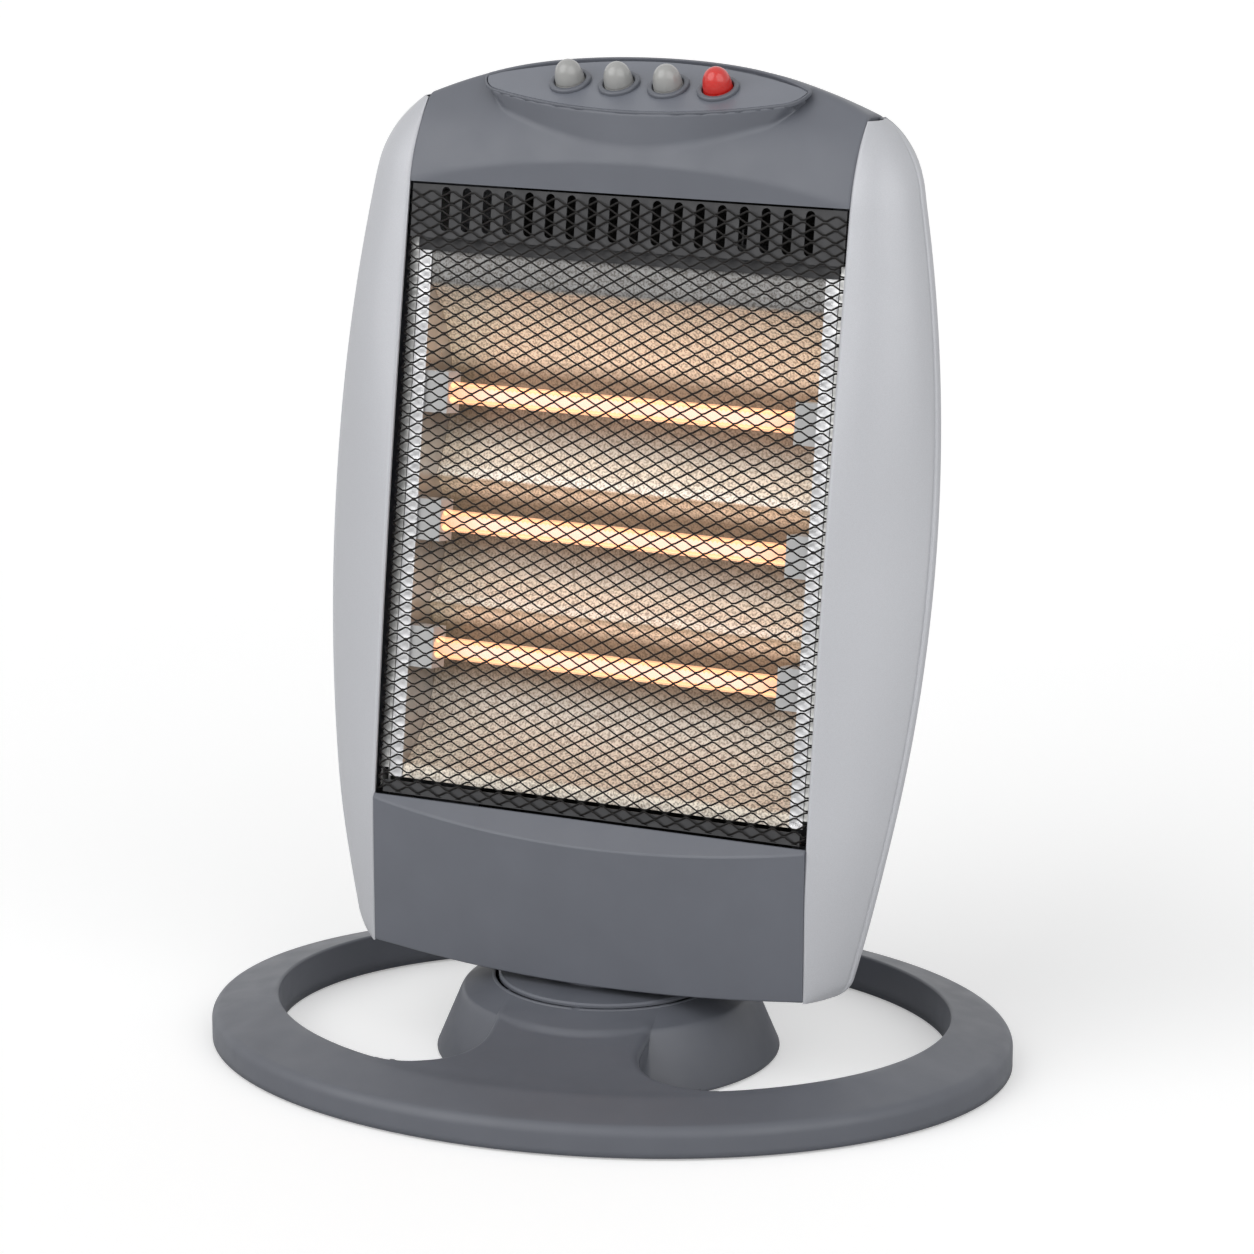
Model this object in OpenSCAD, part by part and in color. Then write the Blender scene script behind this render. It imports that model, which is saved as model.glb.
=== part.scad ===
// Oscillating halogen heater with three quartz lamps, 396 x 306 x 475 mm.
// +Z is up, the front faces -Y, and the origin is on the floor under the turntable axis.
// The heater head is modelled centred and is then turned on its turntable by swing_at_rest.

/* [Base] */
// Width of the oval base
base_w = 396; // [340:1:440]
// Depth of the oval base
base_d = 306; // [275:1:340]
// Height of the vertical rim of the base above its underside
rim_h = 9; // [6:0.5:12]
// Radius of the rounding on top of the rim
rim_round = 6; // [3:0.5:7]
// Slope of the ring's top towards the rim, in degrees
ring_slope = 12; // [6:1:15]
// Width of the pair of openings in the base, rim to rim
opening_w = 333; // [300:1:345]
// Depth of the pair of openings in the base
opening_d = 256; // [235:1:262]
// How far the openings are set back from the middle
opening_shift = 6; // [0:1:8]
// Width of the bridges that join the pedestal to the ring
bridge_w = 76; // [70:1:84]
// Radius of the openings' corners beside the bridges
corner_r = 32; // [26:1:34]
// Wall of the plastic mouldings
wall = 2.4; // [2:0.1:3]
// Height of the feet below the base moulding
foot_gap = 1.2; // [0.8:0.1:2]

/* [Pedestal and turntable] */
// Radius of the pedestal at the floor
pedestal_foot_r = 83.5; // [80:0.5:90]
// Radius of the pedestal where its bevel starts
pedestal_top_r = 71; // [68:0.5:74]
// Height of the lower edge of the bevel
bevel_z = 31; // [29:0.5:32]
// Height of the top of the pedestal
pedestal_h = 37; // [36:0.5:38]
// Radius of the turntable disc
disc_r = 53.3; // [48:0.1:56]
// Height of the disc's edge above the pedestal
disc_rise = 1.8; // [1:0.1:2.4]
// Running gap round the turntable
turn_gap = 0.7; // [0.5:0.1:1]
// Radius of the turntable's hub
hub_r = 18; // [16:0.5:20]
// Radius of the wire way through the hub
wire_way_r = 7; // [5:0.5:8]
// Radial running clearance of the hub in its bore
hub_clearance = 0.08; // [0.04:0.01:0.1]
// Angle of the head on its turntable as shown, in degrees
swing_at_rest = -9; // [-20:1:20]

/* [Swing drive] */
// Distance from the turntable axis to the motor shaft
crank_distance = 26; // [24:1:28]
// Throw of the crank pin
crank_throw = 13.8; // [12:0.1:14]
// Radius of the crank pin
crank_pin_r = 2.5; // [2:0.1:3]
// Free space on each side of the pin in the arm's slot
slot_play = 3; // [2.8:0.1:3.4]
// Crank angle that goes with one degree of swing
crank_ratio = 3.8; // [3.6:0.1:4]
// Radius of the motor's case
motor_r = 24.5; // [20:0.5:25]

/* [Head] */
// Width of the front column between the two seams
column_w = 228.6; // [210:0.2:240]
// Greatest half width of the head
half_w = 158.4; // [150:0.2:164]
// Radius of the barrel-shaped sides, seen from the front
barrel_r = 800; // [700:5:1000]
// Height at which the head is widest
barrel_z = 258; // [240:1:275]
// Height of the arch over the line between the shoulders
top_z = 477.5; // [470:0.5:480]
// Radius of the arched top, seen from the front
arch_r = 292; // [285:1:330]
// Depth position of the crest at the shoulders
crest_y = 45; // [42:0.5:48]
// Radius of the shoulders
shoulder_r = 46; // [40:1:50]
// Height of the side panels' lower ends
head_z = 46; // [45:0.5:48]
// Depth of the head, front seam to back
head_d = 64; // [60:0.5:70]
// Crown of a side panel as a share of its width
panel_crown = 0.08; // [0.02:0.01:0.1]
// Extra crown of a side panel near its top
panel_crown_top = 0.1; // [0:0.01:0.14]
// Gap at the seams between mouldings
seam_gap = 0.25; // [0.15:0.05:0.4]

/* [Front] */
// Lean of the grille, in degrees
lean = 8.6; // [6:0.1:10]
// Depth position of the grille's lower edge
grille_y = -26.3; // [-30:0.1:-24]
// Height of the grille's lower edge
grille_z = 121.3; // [118:0.1:125]
// Length of the grille along its slope
grille_l = 296.6; // [290:0.2:300]
// Width of a mesh opening
mesh_w = 30; // [28:1:40]
// Height of a mesh opening
mesh_h = 16; // [15:0.5:20]
// Width of a mesh strand
strand = 1.6; // [1.2:0.1:2]
// Bow of the lower panel towards the front
panel_bow = 8; // [4:0.5:9]
// Bow of the cap towards the front
cap_bow = 5.5; // [4:0.5:8]
// Radius of the cap's rounded front, seen from the side
cap_round = 75; // [70:1:80]

/* [Control panel] */
// Tilt of the control panel towards the front, in degrees
panel_tilt = 27; // [22:1:30]
// Width of the control panel
pod_w = 169; // [160:1:174]
// Depth of the control panel's bowed front, seen from above
pod_bow = 24.4; // [22:0.2:26]
// Radius of the control panel's two tips
pod_tip_r = 14; // [10:0.5:16]
// Distance between neighbouring buttons
button_pitch = 25.5; // [24:0.5:27]
// Radius of a button
button_r = 7.2; // [6:0.1:7.4]
// Height of a button above the panel
button_h = 12; // [9:0.1:13]
// Travel of a button
button_travel = 3; // [2:0.1:3.2]
// Running clearance round the buttons
button_clearance = 0.2; // [0.1:0.05:0.3]

/* [Lamps and reflector] */
// Distance between neighbouring lamps
lamp_pitch = 62; // [58:0.1:64]
// Height of the middle lamp along the slope
lamp_mid = 134.3; // [130:0.1:138]
// Depth of the lamps behind the grille
lamp_v = 14.5; // [13:0.1:17]
// Radius of a quartz tube
tube_r = 5.25; // [4.5:0.05:6]
// Length of a ceramic end over its lamp
ceramic_l = 11.5; // [8:0.5:17]
// Space between the reflector and the seam on each side
reflector_side = 12.3; // [11.3:0.1:16.3]
// Depth of the reflector's ridges behind the grille
ridge_v = 24; // [22:0.5:27]
// Distance of each ridge below its lamp
ridge_drop = 41; // [36:0.5:44]
// Depth of the troughs behind the line between their edges
trough = 14; // [10:0.5:15]
// Thickness of the sheet metal
sheet = 0.8; // [0.6:0.1:1]

/* [Hidden] */
$fn = 64;
eps = 0.01;

// colours
dark_grey = [0.41, 0.42, 0.45];
silver_grey = [0.72, 0.72, 0.74];
button_grey = [0.56, 0.56, 0.55];
signal_red = [0.84, 0.16, 0.13];
bright_metal = [0.78, 0.78, 0.78];
black_metal = [0.09, 0.09, 0.09];
ceramic_white = [0.92, 0.91, 0.88];
rubber_black = [0.12, 0.12, 0.12];
lamp_glow = [1.0, 0.82, 0.55];

// ---------- shared functions ----------

// points of an arc, from angle a0 to a1 in n steps
function arc(c, r, a0, a1, n) =
    [for (i = [0:n]) let (a = a0 + (a1 - a0) * i / n) [c[0] + r * cos(a), c[1] + r * sin(a)]];

// places where two circles meet, the one on the upper right
function circles_meet(c1, r1, c2, r2) =
    let (d = norm(c2 - c1), a = (r1 * r1 - r2 * r2 + d * d) / (2 * d), h = sqrt(r1 * r1 - a * a),
        e = (c2 - c1) / d, m = c1 + a * e)
    [m[0] - h * e[1], m[1] + h * e[0]];

function reversed(list) = [for (i = [len(list) - 1:-1:0]) list[i]];

// a closed solid through equal rings of points, with flat ends
module loft(rings) {
    n = len(rings[0]);
    last = len(rings) - 1;
    points = [for (ring = rings) each ring];
    sides = [for (k = [0:last - 1]) for (i = [0:n - 1])
        let (j = (i + 1) % n)
        each [[k * n + i, (k + 1) * n + i, (k + 1) * n + j], [k * n + i, (k + 1) * n + j, k * n + j]]];
    lower = [[for (i = [0:n - 1]) i]];
    upper = [[for (i = [n - 1:-1:0]) last * n + i]];
    polyhedron(points, concat(sides, lower, upper), convexity = 8);
}

// ---------- base ----------

base_rx = base_w / 2;
base_ratio = base_d / base_w;
ring_in_x = opening_w / 2;
rim_top = foot_gap + rim_h;
rim_c = [base_rx - rim_round, rim_top];
slope_start = rim_c + rim_round * [sin(ring_slope), cos(ring_slope)];
ring_h = slope_start[1] + (slope_start[0] - ring_in_x) * tan(ring_slope);
cavity_z = rim_top - 1;
deck_floor = pedestal_h - 3.4;
deck_under = deck_floor - 3;
well_r = disc_r + turn_gap;

// the openings in plan, one side, grown or shrunk by g
module opening_plan(g) {
    half_bridge = bridge_w / 2;
    rx = opening_w / 2;
    ry = opening_d / 2;
    // the corner circle touches the inner oval and the side of the bridge
    cx = half_bridge + corner_r;
    touch_x = cx * rx / (rx - corner_r * 0.87);
    touch_y = ry * sqrt(1 - pow(touch_x / rx, 2));
    slant = atan2(touch_y / (ry * ry), touch_x / (rx * rx));
    cy = touch_y - corner_r * sin(slant);
    intersection() {
        translate([0, opening_shift]) scale([1, (ry + g) / (rx + g)]) circle(r = rx + g, $fn = 128);
        translate([cx, -base_d]) square([base_w, 2 * base_d]);
    }
    translate([half_bridge - g, opening_shift - cy]) square([corner_r + g + eps, 2 * cy]);
    for (s = [-1, 1]) translate([cx, opening_shift + s * cy]) circle(r = corner_r + g);
}

module opening_prism(g, z0, z1) {
    for (s = [0, 1]) mirror([s, 0, 0]) translate([0, 0, z0]) linear_extrude(z1 - z0) opening_plan(g);
}

// the oval dish that the ring is cut from
module dish(w) {
    r = base_rx - w;
    c = [rim_c[0], rim_c[1] - w * 0.3];
    f = rim_round - w;
    start = c + f * [sin(ring_slope), cos(ring_slope)];
    in_x = ring_in_x;
    profile = concat([[0, foot_gap - 2 * w], [r, foot_gap - 2 * w]],
        arc(c, f, 0, 90 - ring_slope, 5),
        [[in_x, start[1] + (start[0] - in_x) * tan(ring_slope)], [0, start[1] + (start[0] - in_x) * tan(ring_slope)]]);
    scale([1, (base_d - 2 * w) / (base_w - 2 * w), 1]) rotate_extrude($fn = 128) polygon(profile);
}

// ramps that run from the ring up to the pedestal, front and back, w below their tops
module ramps(w) {
    ramp_start = 58;
    ramp_end = opening_d / 2 - opening_shift;
    top = bevel_z + 1.6 - w;
    low = ring_h - w;
    side = [[0, foot_gap - 2 * w], [ramp_end, foot_gap - 2 * w], [ramp_end, low - 1], [ramp_end - 1, low + 0.02]];
    hollow = [for (i = [1:7]) let (t = i / 8)
        [ramp_end + (ramp_start - ramp_end) * t, low + (top - low) * (0.4 * t + 0.6 * t * t)]];
    outline = concat(side, hollow, [[ramp_start, top], [0, top]]);
    half = bridge_w / 2 + corner_r;
    intersection() {
        for (s = [0, 1]) mirror([0, s, 0])
            rotate([90, 0, 0]) rotate([0, -90, 0]) translate([0, 0, -half]) linear_extrude(2 * half) polygon(outline);
        translate([0, 0, -10]) scale([1, base_ratio, 1]) cylinder(r = ring_in_x - 0.3, h = 60, $fn = 128);
    }
}

module pedestal_solid(w) {
    translate([0, 0, foot_gap - 2 * w]) cylinder(r1 = pedestal_foot_r - w, r2 = pedestal_top_r - w,
        h = bevel_z - foot_gap + w, $fn = 96);
}

// the dish with its ramps and without the openings
module ring_with_ramps(w) {
    difference() {
        union() {
            dish(w);
            ramps(w);
        }
        opening_prism(w, -2, 60);
    }
}

base_screw_at = [[0, -62], [56, 30], [-56, 30]];
foot_at = [for (p = [[60, -129], [150, -73], [150, 79], [60, 134]]) each [p, [-p[0], p[1]]]];
motor_post_x = 31.5;

module base_moulding() {
    color(dark_grey) difference() {
        union() {
            difference() {
                union() {
                    ring_with_ramps(0);
                    pedestal_solid(0);
                    translate([0, 0, bevel_z - eps]) cylinder(r1 = pedestal_top_r, r2 = well_r + 1,
                        h = pedestal_h - bevel_z, $fn = 96);
                }
                // the hollow underside, a wall thinner all round
                ring_with_ramps(wall);
                pedestal_solid(wall);
                translate([0, 0, 5]) cylinder(r = pedestal_top_r - 5, h = deck_under - 5);
            }
            // screw posts for the cover and the motor, and bosses over the feet
            for (p = base_screw_at) translate([p[0], p[1], cover_top]) cylinder(r = 4.5, h = deck_under - cover_top + eps);
            for (s = [-1, 1]) translate([s * motor_post_x, crank_distance, motor_top + 1.6])
                cylinder(r = 4, h = deck_under - motor_top - 1.6 + eps);
            for (p = foot_at) translate([p[0], p[1], foot_gap]) cylinder(r = 5, h = rim_top - foot_gap + 6.4);
        }
        for (p = foot_at) translate([p[0], p[1], 0]) cylinder(r = 2.6, h = 8.2);
        // the well of the turntable and the bore of its hub
        translate([0, 0, deck_floor]) cylinder(r = well_r, h = 20, $fn = 96);
        translate([0, 0, deck_under - 1]) cylinder(r = hub_r + hub_clearance, h = 20, $fn = 96);
        for (p = base_screw_at) translate([p[0], p[1], cover_top - 1]) cylinder(r = 1.2, h = 12);
        for (s = [-1, 1]) translate([s * motor_post_x, crank_distance, motor_top + 1]) cylinder(r = 1.2, h = 9);
        // the way for the cord through the rim, at the back
        translate([0, base_d / 2 - 12, gland_z]) rotate([-90, 0, 0]) cylinder(r = gland_r + 0.1, h = 20);
    }
}

cover_top = foot_gap + 2.2;
motor_top = 17.2;
motor_bottom = cover_top;
gland_z = 7.6;
gland_r = 3.4;

// the plate that closes the pedestal from below
module base_cover() {
    color(dark_grey) difference() {
        translate([0, 0, foot_gap + 0.2]) cylinder(r = pedestal_foot_r - wall - 3.1, h = cover_top - foot_gap - 0.2, $fn = 96);
        for (p = base_screw_at) {
            translate([p[0], p[1], -1]) cylinder(r = 1.7, h = 12);
            translate([p[0], p[1], -1]) cylinder(r = 3.3, h = foot_gap + 2);
        }
        for (a = [0:30:330]) rotate([0, 0, a]) translate([50, 0, -1]) cylinder(r = 2, h = 12);
    }
}

// pads of rubber round the ring
module rubber_feet() {
    color(rubber_black) for (p = foot_at) translate([p[0], p[1], 0]) {
        cylinder(r1 = 5, r2 = 5.6, h = foot_gap);
        translate([0, 0, foot_gap - eps]) cylinder(r = 2.5, h = 6.5);
    }
}

module pan_screw(length, r = 1.4, head = 3) {
    translate([0, 0, -1.6]) cylinder(r1 = head * 0.75, r2 = head, h = 1.6);
    cylinder(r = r, h = length);
}

module base_screws() {
    color(bright_metal) for (p = base_screw_at)
        translate([p[0], p[1], foot_gap + 1]) pan_screw(10, 1.1);
}

module cord_gland() {
    color(rubber_black) translate([0, base_d / 2, gland_z]) rotate([-90, 0, 0]) difference() {
        union() {
            translate([0, 0, -9]) cylinder(r = gland_r, h = 8.7);
            translate([0, 0, -6]) cylinder(r = gland_r + 0.7, h = 2);
        }
        translate([0, 0, -10]) cylinder(r = 2.1, h = 12);
    }
}

// ---------- turntable and drive ----------

disc_bottom = deck_floor + 0.8;
disc_top = pedestal_h + disc_rise;
washer_h = 1.6;
arm_top = deck_under - washer_h - 0.2;
arm_h = 2.8;
arm_rim = 2.6;
arm_bottom = arm_top - arm_h;
crank_rest = swing_at_rest * crank_ratio;
hub_screw_at = [for (a = [60, 180, 300]) (hub_r - 5) * [cos(a), sin(a)]];

module slide_ring() {
    color(ceramic_white) translate([0, 0, deck_floor]) difference() {
        cylinder(r = disc_r - 5, h = 0.75, $fn = 96);
        translate([0, 0, -1]) cylinder(r = disc_r - 17, h = 3, $fn = 96);
    }
}

// everything of the head turns with this frame
module on_turntable() {
    rotate([0, 0, swing_at_rest]) children();
}

tray_bottom = head_z + 1.2;
collar_r = 29;

module turntable() {
    color(dark_grey) on_turntable() difference() {
        union() {
            translate([0, 0, disc_bottom]) cylinder(r = disc_r, h = disc_top - disc_bottom - 0.9, $fn = 96);
            translate([0, 0, disc_top - 0.9 - eps]) cylinder(r1 = disc_r, r2 = disc_r - 0.9, h = 0.9, $fn = 96);
            translate([0, 0, arm_top]) cylinder(r = hub_r, h = disc_bottom - arm_top + eps, $fn = 96);
            translate([0, 0, disc_top - eps]) cylinder(r = collar_r, h = tray_bottom - disc_top, $fn = 96);
        }
        translate([0, 0, arm_top - 1]) cylinder(r = wire_way_r, h = 40);
        for (p = hub_screw_at) translate([p[0], p[1], arm_top - 1]) cylinder(r = 1.2, h = 9);
        for (p = tray_screw_at) translate([p[0], p[1], tray_bottom - 7]) cylinder(r = 1.2, h = 9);
    }
}

module retaining_washer() {
    color(bright_metal) on_turntable() translate([0, 0, deck_under - washer_h - 0.1]) difference() {
        cylinder(r = hub_r + 8, h = washer_h, $fn = 96);
        translate([0, 0, -1]) cylinder(r = hub_r + 0.05, h = 5, $fn = 96);
    }
}

// arm under the hub, moved by the crank pin in its long slot
module swing_arm() {
    reach = crank_distance + crank_throw + 2;
    near = crank_distance - crank_throw - 1;
    slot_r = crank_pin_r + slot_play;
    color(black_metal) on_turntable() translate([0, 0, arm_bottom]) difference() {
        union() {
            cylinder(r = hub_r + 1.5, h = arm_h, $fn = 96);
            translate([-slot_r - arm_rim, 0, 0]) cube([2 * (slot_r + arm_rim), reach, arm_h]);
            translate([0, reach, 0]) cylinder(r = slot_r + arm_rim, h = arm_h);
        }
        translate([0, near, -1]) cylinder(r = slot_r, h = 9);
        translate([-slot_r, near, -1]) cube([2 * slot_r, reach - near, 9]);
        translate([0, reach, -1]) cylinder(r = slot_r, h = 9);
        translate([0, 0, -1]) cylinder(r = wire_way_r, h = 9);
        for (p = hub_screw_at) translate([p[0], p[1], -1]) cylinder(r = 1.5, h = 9);
    }
}

module hub_screws() {
    color(bright_metal) on_turntable() for (p = hub_screw_at)
        translate([p[0], p[1], arm_bottom]) pan_screw(arm_h + 5, 1.1, 2.4);
}

// synchronous gear motor with its shaft up
module swing_motor() {
    color(bright_metal) translate([0, crank_distance, motor_bottom]) {
        difference() {
            union() {
                cylinder(r = motor_r, h = motor_top - motor_bottom, $fn = 96);
                for (s = [-1, 1]) translate([s * motor_post_x, 0, motor_top - motor_bottom]) cylinder(r = 4.2, h = 1.5);
                translate([-motor_post_x, -4.2, motor_top - motor_bottom]) cube([2 * motor_post_x, 8.4, 1.5]);
            }
            for (s = [-1, 1]) translate([s * motor_post_x, 0, 0]) cylinder(r = 1.6, h = 30);
        }
        translate([0, 0, motor_top - motor_bottom]) cylinder(r = 3.5, h = crank_bottom - motor_top - 0.1);
        translate([0, 0, motor_top - motor_bottom]) cylinder(r = 2.4, h = crank_bottom - motor_top + 2.5);
    }
}
crank_bottom = motor_top + 2;
crank_h = 3.2;

module motor_screws() {
    color(bright_metal) for (s = [-1, 1])
        translate([s * motor_post_x, crank_distance, motor_top]) pan_screw(8, 1.1, 2.8);
}

module crank() {
    color(ceramic_white) translate([0, crank_distance, 0]) rotate([0, 0, crank_rest]) difference() {
        union() {
            translate([0, 0, crank_bottom]) cylinder(r = crank_throw + crank_pin_r + 1.5, h = crank_h, $fn = 96);
            translate([0, crank_throw, crank_bottom]) cylinder(r = crank_pin_r, h = arm_top - crank_bottom - 0.4);
        }
        translate([0, 0, crank_bottom - 1]) cylinder(r = 2.45, h = crank_h + 0.6);
    }
}

// ---------- head: outline and profiles ----------

seam_x = column_w / 2;
reflector_half = seam_x - reflector_side;
lamp_half = reflector_half - ceramic_l;
barrel_c = [half_w - barrel_r, barrel_z];
arch_c = [0, top_z - arch_r];
shoulder_c = circles_meet(barrel_c, barrel_r - shoulder_r, arch_c, arch_r - shoulder_r);
shoulder_a0 = atan2(shoulder_c[1] - barrel_c[1], shoulder_c[0] - barrel_c[0]);
shoulder_z = barrel_c[1] + barrel_r * sin(shoulder_a0);
foot_round = 9;

// half width of the head at height z, seen from the front
function barrel_x(z) = barrel_c[0] + sqrt(barrel_r * barrel_r - pow(z - barrel_z, 2));
function foot_cut(z) = z > head_z + foot_round ? 0 :
    foot_round - sqrt(max(0, foot_round * foot_round - pow(head_z + foot_round - z, 2)));
function outline_x(z) = z < shoulder_z ? barrel_x(z) - foot_cut(z) :
    shoulder_c[0] + sqrt(shoulder_r * shoulder_r - pow(z - shoulder_c[1], 2));

// the seam seen from the side: upright, then a long shallow arc, then the rounded cap
grille_top_y = grille_y + grille_l * sin(lean);
grille_top_z = grille_z + grille_l * cos(lean);
upright_y = grille_y - 1.7;
bend_z0 = grille_z - 33;
bend_r = 350;
bend_a = 6.6;
bend_z1 = bend_z0 + bend_r * sin(bend_a);
bend_y1 = upright_y + bend_r * (1 - cos(bend_a));
bow_a = 2 * atan2(grille_top_y - bend_y1, grille_top_z - bend_z1) - bend_a;
bow_r = (grille_top_z - bend_z1) / (sin(bow_a) - sin(bend_a));
cap_a0 = 12;
cap_a1 = 44;
cap_z1 = grille_top_z + cap_round * (sin(cap_a1) - sin(cap_a0));
cap_y1 = grille_top_y + cap_round * (cos(cap_a0) - cos(cap_a1));
function seam_y(z) =
    z < bend_z0 ? upright_y :
    z < bend_z1 ? upright_y + bend_r - sqrt(bend_r * bend_r - pow(z - bend_z0, 2)) :
    z < grille_top_z ? let (s = sin(bend_a) + (z - bend_z1) / bow_r)
        bend_y1 + bow_r * (cos(bend_a) - sqrt(1 - s * s)) :
    z < cap_z1 ? let (s = sin(cap_a0) + (z - grille_top_z) / cap_round)
        grille_top_y + cap_round * (cos(cap_a0) - sqrt(1 - s * s)) :
    cap_y1 + (z - cap_z1) * tan(cap_a1);

// where the side panels end and the rear cover starts
function part_y(z) = seam_y(z) + 12 + 0.4 * max(0, outline_x(z) - seam_x);
function back_y(z) = seam_y(min(z, grille_top_z + 14)) + head_d;

panel_top_z = shoulder_c[1] + shoulder_r * sin(62);
panel_levels = concat(
    [for (a = [90:-18:18]) head_z + foot_round * (1 - sin(a))],
    [for (i = [0:20]) head_z + foot_round + (shoulder_z - head_z - foot_round) * i / 20],
    [for (i = [1:9]) shoulder_c[1] + shoulder_r * sin(shoulder_a0 + (62 - shoulder_a0) * i / 9)]);

function crown(z) = panel_crown + panel_crown_top * (1 - cos(180 * max(0, min(1, (z - barrel_z + 20) / 130)))) / 2;

// one level of a side panel: outer face from the seam to the rear edge, and back along the inner face
function panel_ring(z) =
    let (dx = outline_x(z) - seam_x, f = [seam_x, seam_y(z)], r = [seam_x + dx, part_y(z)],
        chord = norm(r - f), e = (r - f) / chord, n = [e[1], -e[0]],
        steps = 7,
        outer = [for (i = [0:steps]) let (t = i / steps) f + chord * (t * e + 4 * crown(z) * t * (1 - t) * n)],
        w = 1.3 * min(wall, dx * 0.35), f2 = f + [0, w], r2 = r - [w, 0],
        inner = [for (i = [0:steps]) let (t = i / steps)
            f2 * (1 - t) + r2 * t + 4 * crown(z) * chord * t * (1 - t) * n])
    [for (p = concat(outer, reversed(inner))) [p[0], p[1], z]];

module side_panel() {
    loft([for (z = panel_levels) panel_ring(z)]);
}

module side_panel_right() {
    color(silver_grey) on_turntable() side_panel();
}

module side_panel_left() {
    color(silver_grey) on_turntable() mirror([1, 0, 0]) side_panel();
}

// one level of the rear cover: a half oval behind the side panels, w inside its face
cover_step = 2.6;
function cover_ring(z, w) =
    let (hx = outline_x(z) - cover_step - w, y0 = part_y(z) + seam_gap, d = back_y(z) - y0 - w, n = 24)
    [for (i = [0:n]) let (a = 180 * i / n, c = cos(a))
        [hx * c, (i == 0 || i == n ? y0 - (w > 0 ? 1 : 0) : y0 + d * pow(sin(a), 0.8)), z]];

cap_skirt_z = grille_top_z + 22;
rear_screw_at = [for (z = [70, 230, 400]) for (s = [-1, 1]) [s * (z == 230 ? 118 : z == 70 ? 92 : 100), z]];

module rear_cover() {
    lip = 4;
    inner_levels = concat([head_z - 1], [for (z = panel_levels) if (z > head_z + 1 && z < panel_top_z - 6) z]);
    color(dark_grey) on_turntable() difference() {
        loft([for (z = panel_levels) cover_ring(z, 0)]);
        loft([for (z = inner_levels) cover_ring(z, wall)]);
        translate([-seam_x - seam_gap, 0, cap_skirt_z]) cube([column_w + 2 * seam_gap, 200, 100]);
        // louvres, low and high
        for (z = [92:11:158]) translate([0, 20, z]) louvre(150);
        for (z = [318:11:406]) translate([0, 20, z]) louvre(150);
        for (p = rear_screw_at) translate([p[0], 0, p[1]]) rotate([-90, 0, 0]) cylinder(r = 1.7, h = 150);
    }
}

// a round-ended slot right through the back
module louvre(w) {
    h = 2.2;
    translate([-w / 2, 0, -h]) cube([w, 100, 2 * h]);
    for (s = [-1, 1]) translate([s * w / 2, 0, 0]) rotate([-90, 0, 0]) cylinder(r = h, h = 100);
}

function rear_face_y(x, z) =
    let (hx = outline_x(z) - cover_step, y0 = part_y(z) + seam_gap, a = acos(abs(x) / hx))
    y0 + (back_y(z) - y0) * pow(sin(a), 0.8);

module rear_cover_screws() {
    color(bright_metal) on_turntable() for (p = rear_screw_at)
        translate([p[0], rear_face_y(p[0], p[1]) + 1.1, p[1]]) rotate([90, 0, 0]) pan_screw(12, 1.4);
}

// ---------- head: bottom ----------

tray_h = 2.4;
tray_screw_at = [for (a = [30, 150, 270]) (collar_r - 7) * [cos(a), sin(a)]];

module bottom_tray() {
    z = tray_bottom;
    inset = wall + 0.5;
    back = [for (p = cover_ring(head_z + 1, inset)) [p[0] * 0.94, max(p[1], upright_y + 17.5)]];
    fx = seam_x - wall - 0.9;
    front = [[-fx, upright_y + 16.6], [-fx, upright_y + inset], [fx, upright_y + inset], [fx, upright_y + 16.6]];
    color(dark_grey) on_turntable() difference() {
        translate([0, 0, z]) linear_extrude(tray_h) polygon(concat(front, back));
        translate([0, 0, z - 1]) cylinder(r = wire_way_r, h = 9);
        for (p = tray_screw_at) translate([p[0], p[1], z - 1]) cylinder(r = 1.6, h = 9);
    }
}

module tray_screws() {
    color(bright_metal) on_turntable() for (p = tray_screw_at)
        translate([p[0], p[1], tray_bottom + tray_h]) rotate([180, 0, 0]) pan_screw(tray_h + 6, 1.1);
}

// ---------- head: front mouldings ----------

// a frame that leans with the grille: x across, y into the head, z up the slope
module on_slope() {
    on_turntable() translate([0, grille_y, grille_z]) rotate([-lean, 0, 0]) children();
}

panel_r = (seam_x * seam_x + panel_bow * panel_bow) / (2 * panel_bow);
panel_dip = 4.8;
dip_r = (seam_x * seam_x + panel_dip * panel_dip) / (2 * panel_dip);
crease_a = 42;
panel_top = grille_z - 0.2;

// the lower panel's block, w inside its faces
module lower_block(w) {
    front_y = upright_y - panel_bow + w;
    intersection() {
        translate([0, front_y + panel_r, 30]) cylinder(r = panel_r, h = 100, $fn = 256);
        translate([-seam_x + seam_gap + w, -60, 30]) cube([column_w - 2 * seam_gap - 2 * w, 60 + upright_y + 16, 100]);
        translate([0, 0, head_z + 0.6 - panel_dip + dip_r + (w > 0 ? -2 : 0)]) rotate([90, 0, 0])
            translate([0, 0, -50]) cylinder(r = dip_r, h = 150, $fn = 256);
        // the flat facet that runs up to the grille
        translate([0, grille_y, panel_top - w]) rotate([-crease_a, 0, 0]) translate([-200, w * 0.6, -200]) cube([400, 200, 200 - eps]);
        translate([-200, -100, 0]) cube([400, 200, panel_top - w]);
    }
}

module lower_panel() {
    color(dark_grey) on_turntable() difference() {
        lower_block(0);
        difference() {
            lower_block(wall);
        }
        translate([-seam_x + seam_gap + wall, upright_y + 6, 20]) cube([column_w - 2 * seam_gap - 2 * wall, 60, 200]);
    }
}

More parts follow.
